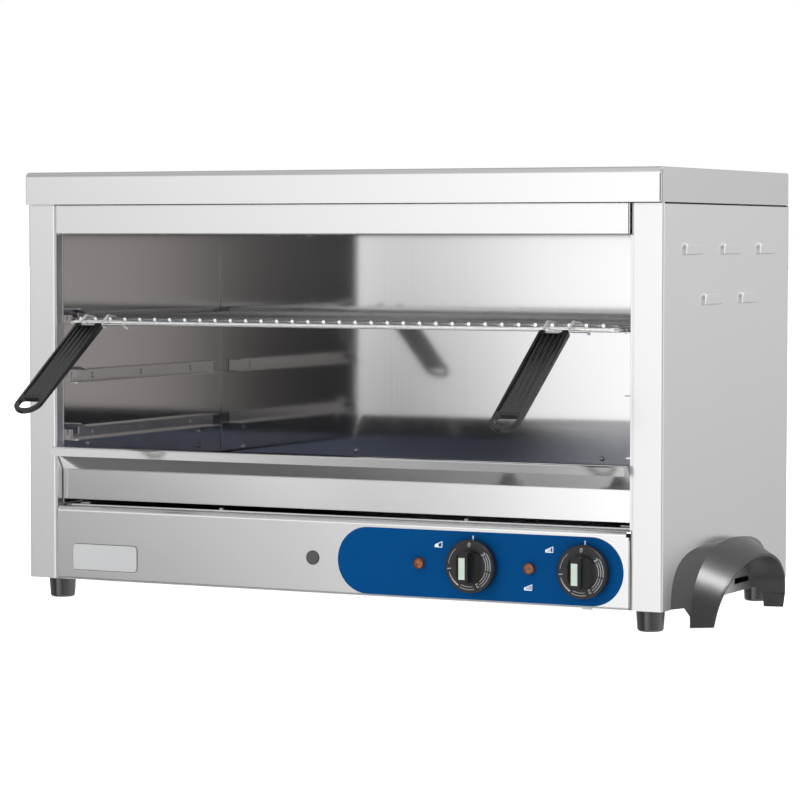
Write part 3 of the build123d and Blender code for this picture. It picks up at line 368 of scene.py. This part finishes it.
ASSIGN = {
    "top_cover": "cover", "side_panel_right": "side", "side_panel_left": "side", "rear_panel": "galv", "base_plate": "galv",
    "front_fascia": "cover", "control_panel": "panel", "control_label": "label", "badge_plate": "badge", "hole_plug": "nylon",
    "liner_right": "liner", "liner_left": "liner", "liner_back": "liner", "reflector": "liner", "insulation": "wool",
    "cavity_floor": "liner", "rack_guides_right": "guide", "rack_guides_left": "guide", "liner_rivets": "rivet", "guide_rivets": "rivet",
    "heating_element_right": "sheath", "heating_element_left": "sheath", "element_bushings": "ceramic", "element_terminals": "brass",
    "element_clips": "guide", "wire_rack": "chrome", "handle_wire_left": "wire", "handle_grip_left": "grip",
    "handle_wire_right": "wire", "handle_grip_right": "grip", "crumb_tray": "tray", "tray_guides": "galv",
    "knob_left": "knob", "knob_insert_left": "mint", "knob_shaft_left": "zinc", "regulator_left": "grey",
    "knob_right": "knob", "knob_insert_right": "mint", "knob_shaft_right": "zinc", "regulator_right": "grey",
    "regulator_screws": "zinc", "lamp_lens_left": "amber", "lamp_body_left": "grey", "lamp_lens_right": "amber", "lamp_body_right": "grey",
    "terminal_block": "ceramic", "cable_gland": "nylon", "gland_nut": "nylon", "wiring_loom": "silicone", "feet": "rubber",
    "foot_screws": "zinc", "side_handle_right": "handle", "side_handle_left": "handle", "side_handle_screws": "zinc",
    "cover_screws": "zinc", "rear_screws": "zinc", "floor_screws": "zinc"}
for name, ob in NODES.items():
    m = M[ASSIGN[name]]
    ob.data.materials.clear()
    ob.data.materials.append(m)


# ------------------------------------------------------------ mesh helpers
def new_mesh(name, verts, faces, mat, body, smooth=False):
    me = bpy.data.meshes.new(name)
    me.from_pydata([tuple(v) for v in verts], [], faces)
    me.validate()
    bm = bmesh.new()
    bm.from_mesh(me)
    bmesh.ops.recalc_face_normals(bm, faces=bm.faces)
    bm.to_mesh(me)
    bm.free()
    if smooth:
        for p in me.polygons:
            p.use_smooth = True
    ob = bpy.data.objects.new(name, me)
    SC.collection.objects.link(ob)
    ob.data.materials.append(mat)
    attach(ob, body)
    return ob


def arc_plate(cx, cz, y, r0, r1, a0, a1, t=0.12, n=28):
    """Raised printed arc on a face that looks along -Y. Angles in degrees, anticlockwise
    from the top as seen from the front; r0, r1 may be (start, end) pairs."""
    ra = r0 if isinstance(r0, tuple) else (r0, r0)
    rb = r1 if isinstance(r1, tuple) else (r1, r1)
    v, f = [], []
    for i in range(n + 1):
        k = i / n
        a = math.radians(a0 + (a1 - a0) * k)
        dx, dz = -math.sin(a), math.cos(a)
        for r in (ra[0] + (ra[1] - ra[0]) * k, rb[0] + (rb[1] - rb[0]) * k):
            for yy in (y, y - t):
                v.append(W(cx + dx * r, yy, cz + dz * r))
    for i in range(n):
        b, c = i * 4, i * 4 + 4
        f += [(b + 1, b + 3, c + 3, c + 1), (b, c, c + 2, b + 2), (b, b + 1, c + 1, c), (b + 2, c + 2, c + 3, b + 3)]
    f += [(0, 2, 3, 1), (n * 4, n * 4 + 1, n * 4 + 3, n * 4 + 2)]
    return v, f


def poly_plate(pts, y, t=0.12):
    """Raised printed outline from (x, z) points."""
    v, f = [], []
    n = len(pts)
    for x, z in pts:
        v.append(W(x, y, z))
    for x, z in pts:
        v.append(W(x, y - t, z))
    f.append(tuple(range(n, 2 * n)))
    f.append(tuple(reversed(range(n))))
    for i in range(n):
        j = (i + 1) % n
        f.append((i, j, n + j, n + i))
    return v, f


def join_lists(*parts):
    v, f = [], []
    for pv, pf in parts:
        o = len(v)
        v += pv
        f += [tuple(i + o for i in face) for face in pf]
    return v, f


def digit(ch, cx, cz, y, h, ang, t=0.12):
    """A numeral as a mesh plate, centred at cx, cz, turned by ang (degrees, anticlockwise)."""
    cu = bpy.data.curves.new("numeral", "FONT")
    cu.body = ch
    cu.align_x = "CENTER"
    cu.align_y = "CENTER"
    cu.size = h * 1.38 * MM
    cu.extrude = t * 0.5 * MM
    cu.offset = 0.00016
    cu.resolution_u = 6
    ob = bpy.data.objects.new("numeral", cu)
    SC.collection.objects.link(ob)
    bpy.context.view_layer.update()
    me = bpy.data.meshes.new_from_object(ob.evaluated_get(bpy.context.evaluated_depsgraph_get()))
    xs = [v.co.x for v in me.vertices]
    ys = [v.co.y for v in me.vertices]
    mx, my = (min(xs) + max(xs)) / 2, (min(ys) + max(ys)) / 2
    a = math.radians(ang)
    ca, sa = math.cos(a), math.sin(a)
    o = W(cx, y - t * 0.5, cz)
    v = []
    for q in me.vertices:
        x, z, d = q.co.x - mx, q.co.y - my, q.co.z
        v.append(Vector((o.x + ca * x - sa * z, o.y - d, o.z + sa * x + ca * z)))
    f = [tuple(p.vertices) for p in me.polygons]
    bpy.data.objects.remove(ob)
    bpy.data.meshes.remove(me)
    bpy.data.curves.remove(cu)
    return v, f


# ------------------------------------------------------------- dial marks
KNOB_X = {"l": 177.5, "r": 311.0}
CZ = 39.8
DIAL_Y = -11.42


def polar(cx, r, a):
    a = math.radians(a)
    return cx - math.sin(a) * r, CZ + math.cos(a) * r


for side, cx in KNOB_X.items():
    parts = [arc_plate(cx, CZ, DIAL_Y, 24.6, 25.1, 40, 84),
             arc_plate(cx, CZ, DIAL_Y, (24.4, 23.6), (25.1, 25.4), 106, 148),
             arc_plate(cx, CZ, DIAL_Y, 22.0, 22.7, 154, 191),
             arc_plate(cx, CZ, DIAL_Y, 25.0, 25.7, 154, 194),
             arc_plate(cx, CZ, DIAL_Y, 19.9, 20.6, 218, 256), arc_plate(cx, CZ, DIAL_Y, 22.6, 23.3, 214, 256),
             arc_plate(cx, CZ, DIAL_Y, 25.3, 26.0, 214, 256),
             arc_plate(cx, CZ, DIAL_Y, 19.9, 20.8, 260, 302), arc_plate(cx, CZ, DIAL_Y, 22.6, 23.5, 260, 302),
             arc_plate(cx, CZ, DIAL_Y, 25.3, 26.2, 260, 306)]
    for ch, a, r in (("0", 0, 24.0), ("1", 97, 24.2), ("2", 206, 22.8), ("3", 309, 22.2)):
        x, z = polar(cx, r, a)
        parts.append(digit(ch, x, z, DIAL_Y, 4.9, a - (11 if ch == "0" else 0)))
    v, f = join_lists(*parts)
    new_mesh("dial_marks_" + side, v, f, M["dialmarks"], "knob_" + side)

# marks printed on the label: index lines and the small zone symbols
LAB_Y = -0.62


def rect(x0, x1, z0, z1):
    return poly_plate([(x0, z0), (x1, z0), (x1, z1), (x0, z1)], LAB_Y, 0.1)


def wedge_symbol(x, z, w, h, kind):
    """Outline of a rising wedge with its power bars: kind 1 and 2 keep a dark window on the right."""
    t = 0.85
    lo = 0.42 * h

    def top(q):
        return z + lo + (h - lo) * (q - x) / w

    out = [poly_plate([(x + 0.7, z), (x + w - 0.6, z), (x + w, z + 0.5), (x + w, z + t), (x, z + t), (x, z + 0.7)], LAB_Y, 0.1),
           poly_plate([(x + w - t, z + t), (x + w, z + t), (x + w, z + h - 0.5), (x + w - 0.5, z + h), (x + w - t, z + h - 0.1)], LAB_Y, 0.1),
           poly_plate([(x, z + t), (x + t, z + t), (x + t, top(x + t)), (x + 0.3, top(x + 0.2) - 0.1), (x, z + lo - 0.5)], LAB_Y, 0.1),
           poly_plate([(x + t, top(x + t) - t), (x + w - t, top(x + w - t) - t), (x + w - t, top(x + w - t)), (x + t, top(x + t))], LAB_Y, 0.1)]
    if kind == 1:
        solid, bars = 0.40 * w, ()
    elif kind == 2:
        solid, bars = 0.20 * w, (0.34, 0.47, 0.60)
    else:
        solid, bars = 0.12 * w, (0.27, 0.42, 0.57, 0.72)
    out.append(poly_plate([(x + t, z + t), (x + t + solid, z + t), (x + t + solid, top(x + t + solid) - t), (x + t, top(x + t) - t)], LAB_Y, 0.1))
    for q in bars:
        bx = x + q * w
        out.append(poly_plate([(bx, z + t), (bx + 0.72, z + t), (bx + 0.72, top(bx + 0.72) - t), (bx, top(bx) - t)], LAB_Y, 0.1))
    return out


sym = []
for cx, kind in ((KNOB_X["l"], 1), (KNOB_X["r"], 2)):
    sym.append(rect(cx - 0.75, cx + 0.75, CZ + 28.6, CZ + 33.2))
    sym += wedge_symbol(cx - 47.0, CZ + 18.5, 9.4, 7.0, kind)
sym += wedge_symbol((KNOB_X["l"] + KNOB_X["r"]) / 2 - 5.5, CZ - 24.0, 9.8, 7.0, 3)
v, f = join_lists(*sym)
new_mesh("label_marks", v, f, M["marks"], "case")

# painted shadow round the badge plate: a thin dark ring that stands in for the shade in the gap at the plate's edge
def rounded(x0, x1, z0, z1, r, n=8):
    pts = []
    for cx, cz, a0 in ((x1 - r, z1 - r, 0), (x0 + r, z1 - r, 90), (x0 + r, z0 + r, 180), (x1 - r, z0 + r, 270)):
        for i in range(n + 1):
            a = math.radians(a0 + 90.0 * i / n)
            pts.append((cx + r * math.cos(a), cz + r * math.sin(a)))
    return pts


def ring_plate(outer, inner, y, t):
    v = [W(x, y, z) for x, z in outer] + [W(x, y, z) for x, z in inner]
    v += [W(x, y - t, z) for x, z in outer] + [W(x, y - t, z) for x, z in inner]
    n = len(outer)
    f = []
    for i in range(n):
        j = (i + 1) % n
        f += [(i, j, n + j, n + i), (2 * n + i, 3 * n + i, 3 * n + j, 2 * n + j), (i, 2 * n + i, 2 * n + j, j), (n + i, n + j, 3 * n + j, 3 * n + i)]
    return v, f


b0, b1 = (Vector(q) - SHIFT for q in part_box("badge_plate"))
bx0, bx1, bz0, bz1 = b0.x / MM, b1.x / MM, b0.z / MM, b1.z / MM
v, f = ring_plate(rounded(bx0 - 0.55, bx1 + 0.55, bz0 - 0.55, bz1 + 0.55, 5.0), rounded(bx0 - 0.02, bx1 + 0.02, bz0 - 0.02, bz1 + 0.02, 4.5), -0.02, 0.3)
new_mesh("badge_seam", v, f, M["seam"], "case")


def bar(x0, x1, y0, y1, z0, z1, c=0.15):
    """Bar along its longest side with small chamfers on its four long edges."""
    lo, hi = (x0, y0, z0), (x1, y1, z1)
    k = max(range(3), key=lambda i: hi[i] - lo[i])
    i, j = [q for q in range(3) if q != k]
    ring = [(lo[i] + c, lo[j]), (hi[i] - c, lo[j]), (hi[i], lo[j] + c), (hi[i], hi[j] - c),
            (hi[i] - c, hi[j]), (lo[i] + c, hi[j]), (lo[i], hi[j] - c), (lo[i], lo[j] + c)]
    v, f = [], []
    for e in (lo[k], hi[k]):
        for a, b in ring:
            p = [0.0, 0.0, 0.0]
            p[i], p[j], p[k] = a, b, e
            v.append(W(*p))
    for q in range(8):
        r = (q + 1) % 8
        f.append((q, r, 8 + r, 8 + q))
    f += [tuple(range(8)), tuple(reversed(range(8, 16)))]
    return v, f


# pale pointer strips of the knobs, each on a black bed that fills the pocket in the grip bar
for side, nm in (("l", "left"), ("r", "right")):
    cx = KNOB_X[side]
    q0, q1 = (Vector(q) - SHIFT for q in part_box("knob_insert_" + nm))
    px0, px1, py0, py1, pz0, pz1 = (q / MM for q in (q0.x, q1.x, q0.y, q1.y, q0.z, q1.z))
    face = (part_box("knob_" + nm)[0][1] - SHIFT.y) / MM
    v, f = bar(px0 + 0.03, px1 - 0.03, face + 0.08, py1 - 0.03, pz0 + 0.03, pz1 - 0.03, 0.1)
    new_mesh("insert_bed_" + nm, v, f, M["knob"], "knob_" + side)
    v, f = bar(cx - 4.4, cx + 3.0, py0, py0 + 0.9, pz0 + 0.3, 50.8, 0.12)
    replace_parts(new_mesh("insert_plate_" + nm, v, f, M["mint"], "knob_" + side), "knob_insert_" + nm)

# painted shadow strips of the cover: dark strips that stand in for the shade at its right front corner, under its
# front skirt, and in the gap above each side panel, which they close
parts = [bar(397.75, 398.6, -7.06, -6.6, 439.0, 468.6, 0.05), bar(-361.0, 397.5, -6.3, -0.3, 437.0, 437.95, 0.1)]
for s_ in (-1, 1):
    a, b = sorted((s_ * 397.5, s_ * 398.3))
    parts.append(bar(a, b, 6.0, 386.0, 436.32, 441.0, 0.05))
v, f = join_lists(*parts)
new_mesh("cover_seams", v, f, M["seam"], "case")

# folded end of the fascia and of the control panel, seen in their right-hand gaps
fas = [(q * 1000.0) for q in (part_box("front_fascia")[0][2] - SHIFT.z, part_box("front_fascia")[1][2] - SHIFT.z)]
v, f = join_lists(bar(359.3, 360.3, 2.0, 2.8, fas[0] + 1.0, fas[1] - 1.0, 0.2), bar(361.45, 362.2, 1.0, 1.8, 2.5, 75.5, 0.1))
new_mesh("end_folds", v, f, M["panel"], "case")

# pressed edge of the right post, square to the opening
v, f = bar(362.35, 365.6, -0.03, 0.7, 86.5, 402.5, 0.22)
new_mesh("post_edge_right", v, f, M["side"], "case")

# rolled lips of the louvres, made in the darker zinc steel so that each paints a shade line along its louvre's lower
# edge
parts = []
for s_ in (-1, 1):
    for yc, zb in ((84.0, 382.3), (199.0, 382.3), (314.0, 382.3), (141.5, 327.0), (256.5, 327.0)):
        a, b = sorted((s_ * 402.35, s_ * 403.45))
        parts.append(bar(a, b, yc - 23.5, yc + 23.5, zb - 0.35, zb + 0.45, 0.25))
v, f = join_lists(*parts)
new_mesh("louvre_lips_painted_shade", v, f, M["zinc"], "case")

# rings round the lamp lenses
for nm in ("left", "right"):
    b0, b1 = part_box("lamp_lens_" + nm)
    c0 = (Vector(b0) + Vector(b1)) * 0.5
    r0 = (b1[0] - b0[0]) * 0.5
    v, f = [], []
    for i in range(48):
        t = 2 * math.pi * i / 48
        for rr, yy in ((r0 * 0.80, b0[1] - 0.00003), (r0 * 0.86, b0[1] - 0.0006), (r0 * 0.97, b0[1] - 0.0006), (r0 * 1.02, b0[1] + 0.0006), (r0 * 0.80, b0[1] + 0.0006)):
            v.append(Vector((c0.x + rr * math.cos(t), yy, c0.z + rr * math.sin(t))))
    for i in range(48):
        j = (i + 1) % 48
        for k in range(5):
            m_ = (k + 1) % 5
            f.append((i * 5 + k, i * 5 + m_, j * 5 + m_, j * 5 + k))
    new_mesh("lamp_ring_" + nm, v, f, M["amber_dark"], "case", smooth=False)

# ------------------------------------------- rolled rims of the side handles
def arch_line(hw, zt, zb, yc, p, x_foot, x_top, n):
    """Points along a super-ellipse arch whose x leans from foot to top."""
    out = []
    for i in range(n + 1):
        a = math.pi * (1 - i / n)
        c, s = math.cos(a), math.sin(a)
        y = yc + hw * math.copysign(abs(c) ** (2 / p), c)
        z = zb + (zt - zb) * abs(s) ** (2 / p)
        out.append(Vector((x_foot + (x_top - x_foot) * (z - zb) / (zt - zb), y, z)))
    return out


def bead(name, pts, r, mat, body, sides=10):
    """Round bead along a line of points, with closed ends."""
    v, f = [], []
    n = len(pts)
    for i, p in enumerate(pts):
        d = (pts[min(i + 1, n - 1)] - pts[max(i - 1, 0)]).normalized()
        a = d.cross(Vector((1.0, 0.0, 0.0))).normalized()
        b = d.cross(a).normalized()
        for k in range(sides):
            t = 2 * math.pi * k / sides
            q = p + (a * math.cos(t) + b * math.sin(t)) * r
            v.append(W(q.x, q.y, q.z))
    for i in range(n - 1):
        for k in range(sides):
            j = (k + 1) % sides
            f.append((i * sides + k, i * sides + j, (i + 1) * sides + j, (i + 1) * sides + k))
    f.append(tuple(range(sides)))
    f.append(tuple(reversed(range((n - 1) * sides, n * sides))))
    return new_mesh(name, v, f, mat, body, smooth=True)


for s_, yc, nm in ((1, 179.0, "right"), (-1, 218.0, "left")):
    line = arch_line(110.8, 47.6, -20.1, yc, 2.1, 431.4, 444.05, 72)
    bead("handle_rim_" + nm, [Vector((q.x * s_, q.y, q.z)) for q in line], 1.85, M["handle"], "case")

# the hanging loops of the grips: slimmer and rounder than the rest of the moulding
for nm, bd in (("left", "handle_l"), ("right", "handle_r")):
    src = NODES["handle_grip_" + nm]
    me = src.data.copy()
    mw = src.matrix_world.copy()
    pts = [mw @ q.co for q in me.vertices]
    lo_z, hi_z = min(p.z for p in pts), max(p.z for p in pts)
    # the line down the middle of the grip, seen from the side, from its lowest and highest points
    low_pts = [p for p in pts if p.z < lo_z + 0.004]
    top_pts = [p for p in pts if p.z > hi_z - 0.004]
    a = sum((Vector((0.0, p.y, p.z)) for p in low_pts), Vector()) / len(low_pts)
    b = sum((Vector((0.0, p.y, p.z)) for p in top_pts), Vector()) / len(top_pts)
    axis = (b - a).normalized()
    out = Vector((0.0, -axis.z, axis.y))
    down = min(p.dot(axis) for p in pts)
    # middle of the thickness, measured on the straight upper part
    mids = [p.dot(out) for p in pts if 0.045 < p.dot(axis) - down < 0.12]
    mid = (min(mids) + max(mids)) * 0.5
    inv = mw.inverted()
    for q, p in zip(me.vertices, pts):
        s_ = p.dot(axis) - down
        k = min(1.0, max(0.0, (s_ - 0.022) / 0.012))
        k = k * k * (3 - 2 * k)
        f_ = 0.60 + 0.40 * k
        q.co = inv @ (p + out * ((p.dot(out) - mid) * (f_ - 1.0)))
    ob = bpy.data.objects.new("grip_moulding_" + nm, me)
    SC.collection.objects.link(ob)
    ob.matrix_world = mw
    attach(ob, bd)
    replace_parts(ob, "handle_grip_" + nm)

# ------------------------------------------------------------------- stage
def stage_floor():
    me = bpy.data.meshes.new("floor")
    s = 40.0
    me.from_pydata([(-s, -s, 0), (s, -s, 0), (s, s, 0), (-s, s, 0)], [], [(0, 1, 2, 3)])
    ob = bpy.data.objects.new("floor", me)
    SC.collection.objects.link(ob)
    m = Mat("floor_paper")
    a = m.noise(m.coords(), 3.0, 3.0, 0.5)
    m.link(m.ramp(a, [(0.0, (0.86, 0.86, 0.86)), (1.0, (0.90, 0.90, 0.90))]), m.bsdf.inputs["Base Color"])
    m.set(Roughness=0.9)
    m.bsdf.inputs["Specular IOR Level"].default_value = 0.1
    m.bsdf.inputs["Emission Color"].default_value = (1.0, 1.0, 1.0, 1.0)
    m.bsdf.inputs["Emission Strength"].default_value = 0.92
    ob.data.materials.append(m.mat)
    ob.visible_glossy = False


stage_floor()


def make_world():
    w = bpy.data.worlds.new("studio")
    SC.world = w
    w.use_nodes = True
    nt = w.node_tree
    nt.nodes.clear()
    out = nt.nodes.new("ShaderNodeOutputWorld")
    mix = nt.nodes.new("ShaderNodeMixShader")
    plain = nt.nodes.new("ShaderNodeBackground")
    plain.inputs[0].default_value = (1, 1, 1, 1)
    plain.inputs[1].default_value = 1.0
    env = nt.nodes.new("ShaderNodeBackground")
    lp = nt.nodes.new("ShaderNodeLightPath")
    nt.links.new(lp.outputs["Is Camera Ray"], mix.inputs[0])
    nt.links.new(env.outputs[0], mix.inputs[1])
    nt.links.new(plain.outputs[0], mix.inputs[2])
    nt.links.new(mix.outputs[0], out.inputs[0])
    tc = nt.nodes.new("ShaderNodeTexCoord")
    sp = nt.nodes.new("ShaderNodeSeparateXYZ")
    nt.links.new(tc.outputs["Generated"], sp.inputs[0])

    def math_node(op, a, b=None):
        m = nt.nodes.new("ShaderNodeMath")
        m.operation = op
        for i, q in enumerate((a, b)):
            if q is None:
                continue
            if isinstance(q, (int, float)):
                m.inputs[i].default_value = q
            else:
                nt.links.new(q, m.inputs[i])
        return m.outputs[0]

    # azimuth: 0 straight in front of the object (towards -Y), positive to its right
    az = math_node("ARCTAN2", sp.outputs[0], math_node("MULTIPLY", sp.outputs[1], -1.0))
    azn = math_node("ADD", math_node("DIVIDE", az, 2 * math.pi), 0.5)

    def ramp(fac, stops, interp="EASE"):
        r = nt.nodes.new("ShaderNodeValToRGB")
        r.color_ramp.interpolation = interp
        el = r.color_ramp.elements
        while len(el) < len(stops):
            el.new(0.5)
        for e, (p, c) in zip(el, stops):
            e.position = p
            e.color = (*c, 1.0) if isinstance(c, tuple) else (c, c, c, 1.0)
        nt.links.new(fac, r.inputs[0])
        return r.outputs[0]

    def deg(d):
        return d / 360.0 + 0.5

    around = ramp(azn, [(0.0, 0.62), (deg(-120), 0.66), (deg(-60), 0.60), (deg(-38), 0.80), (deg(-32), 1.00), (deg(-30), 1.40), (deg(-28.3), 1.62), (deg(-27.6), 0.98),
                        (deg(-26.5), 0.99), (deg(-25.2), 1.16), (deg(-23.5), 1.58), (deg(-20), 1.60), (deg(-16), 1.52), (deg(-10), 1.16), (deg(0), 0.96), (deg(12), 0.80), (deg(19), 0.64), (deg(25.5), 0.10), (deg(29.4), 0.10),
                        (deg(29.8), (0.36, 0.32, 0.30)), (deg(30.2), (0.70, 0.64, 0.60)), (deg(30.75), (0.44, 0.40, 0.38)), (deg(31.1), (0.64, 0.59, 0.565)),
                        (deg(33), (0.63, 0.58, 0.56)), (deg(38), 0.50), (deg(70), 0.62), (deg(112), 1.05), (deg(140), 0.98), (deg(155), 0.66), (deg(162), 0.555), (1.0, 0.62)], "LINEAR")
    up = ramp(math_node("ADD", math_node("MULTIPLY", sp.outputs[2], 0.5), 0.5),
              [(0.0, 0.66), (0.44, 0.93), (0.49, 1.0), (0.52, 0.96), (0.57, 0.95), (0.65, 0.78), (0.73, 0.52), (0.86, 0.60), (0.95, 0.95), (1.0, 1.10)], "LINEAR")

    def smooth(lo, hi, x):
        m = nt.nodes.new("ShaderNodeMapRange")
        m.interpolation_type = "SMOOTHSTEP"
        m.inputs["From Min"].default_value = lo
        m.inputs["From Max"].default_value = hi
        nt.links.new(x, m.inputs["Value"])
        return m.outputs[0]

    def times(*q):
        r = q[0]
        for k in q[1:]:
            r = math_node("MULTIPLY", r, k)
        return r

    # the lower left of the surroundings is darker
    left = ramp(azn, [(0.0, 0.3), (deg(-60), 0.6), (deg(-37), 1.0), (deg(-30), 0.98), (deg(-29), 0.66), (deg(-28.3), 0.38), (deg(-27.7), 0.60), (deg(-26.5), 0.98), (deg(-25.2), 0.5),
                      (deg(-22.8), 0.0), (deg(60), 0.0), (1.0, 0.3)], "LINEAR")
    low = ramp(math_node("ADD", math_node("MULTIPLY", sp.outputs[2], 4.0), 0.5),
               [(0.0, 0.0), (0.11, 0.06), (0.17, 0.26), (0.30, 0.46), (0.44, 0.82), (0.55, 1.0), (1.0, 1.0)], "LINEAR")
    dark = math_node("SUBTRACT", 1.0, math_node("MULTIPLY", left, math_node("SUBTRACT", 1.0, low)))
    # a darker band higher up in front, and the lower half of the dark patch on the right
    band = times(smooth(deg(-33), deg(-29.5), azn), smooth(deg(-22.8), deg(-25.4), azn), smooth(0.17, 0.26, sp.outputs[2]), smooth(0.52, 0.44, sp.outputs[2]), 0.70)
    patch = times(smooth(deg(24), deg(25.5), azn), smooth(deg(29.7), deg(29.3), azn), smooth(-0.012, -0.03, sp.outputs[2]), 0.6)
    # sideways the upper dip fades out
    aside = times(smooth(deg(70), deg(105), azn), smooth(0.0, 0.09, sp.outputs[2]))
    up = math_node("ADD", up, math_node("MULTIPLY", aside, math_node("SUBTRACT", 1.0, up)))
    fall = times(up, dark, math_node("SUBTRACT", 1.0, band), math_node("SUBTRACT", 1.0, patch))
    # what the undersides see: dark and light strips of the studio floor in front
    under = ramp(azn, [(0.0, 0.55), (deg(-90), 0.30), (deg(-70), 0.14), (deg(-66), 0.14), (deg(-64.4), 0.24), (deg(-63.2), 0.10), (deg(-62.2), 0.0), (deg(-58), 0.0), (deg(-57), 0.01), (deg(-56), 0.04),
                       (deg(-55), 0.10), (deg(-53.5), 0.24), (deg(-52), 0.44), (deg(-50), 0.70), (deg(-45), 0.88), (deg(0), 0.88), (1.0, 0.55)], "LINEAR")
    deep = smooth(-0.55, -0.70, sp.outputs[2])
    mul = nt.nodes.new("ShaderNodeMix")
    mul.data_type = "RGBA"
    mul.blend_type = "MULTIPLY"
    mul.inputs[0].default_value = 1.0
    nt.links.new(around, mul.inputs[6])
    nt.links.new(fall, mul.inputs[7])
    pick = nt.nodes.new("ShaderNodeMix")
    pick.data_type = "RGBA"
    nt.links.new(deep, pick.inputs[0])
    nt.links.new(mul.outputs[2], pick.inputs[6])
    nt.links.new(under, pick.inputs[7])
    nt.links.new(pick.outputs[2], env.inputs[0])
    env.inputs[1].default_value = 1.0


make_world()


def area(name, loc, target, size, size_y, power, glossy=True):
    ld = bpy.data.lights.new(name, "AREA")
    ld.shape = "RECTANGLE"
    ld.size = size
    ld.size_y = size_y
    ld.energy = power
    ob = bpy.data.objects.new(name, ld)
    SC.collection.objects.link(ob)
    ob.location = loc
    d = Vector(target) - Vector(loc)
    ob.rotation_mode = "QUATERNION"
    ob.rotation_quaternion = d.to_track_quat("-Z", "Y")
    ob.visible_glossy = glossy
    ob.visible_camera = False
    return ob


area("softbox_top", (0.0, -0.4, 3.2), (0, 0, 0.2), 4.5, 4.5, 150.0, False)
area("softbox_front", (-1.6, -3.2, 1.8), (0, 0, 0.2), 2.0, 1.6, 40.0, False)
side_light = area("softbox_side", (1.55, -0.12, 1.98), (0.42, -0.04, 0.06), 0.75, 0.70, 52.0, True)
# it is flagged off the sheet metal, and reaches only the plastic and rubber parts
lit = bpy.data.collections.new("side_light_receivers")
for name in ("side_handle_right", "side_handle_left", "feet", "knob_left", "knob_right"):
    lit.objects.link(NODES[name])
for name in ("handle_rim_right", "handle_rim_left"):
    lit.objects.link(bpy.data.objects[name])
side_light.light_linking.receiver_collection = lit
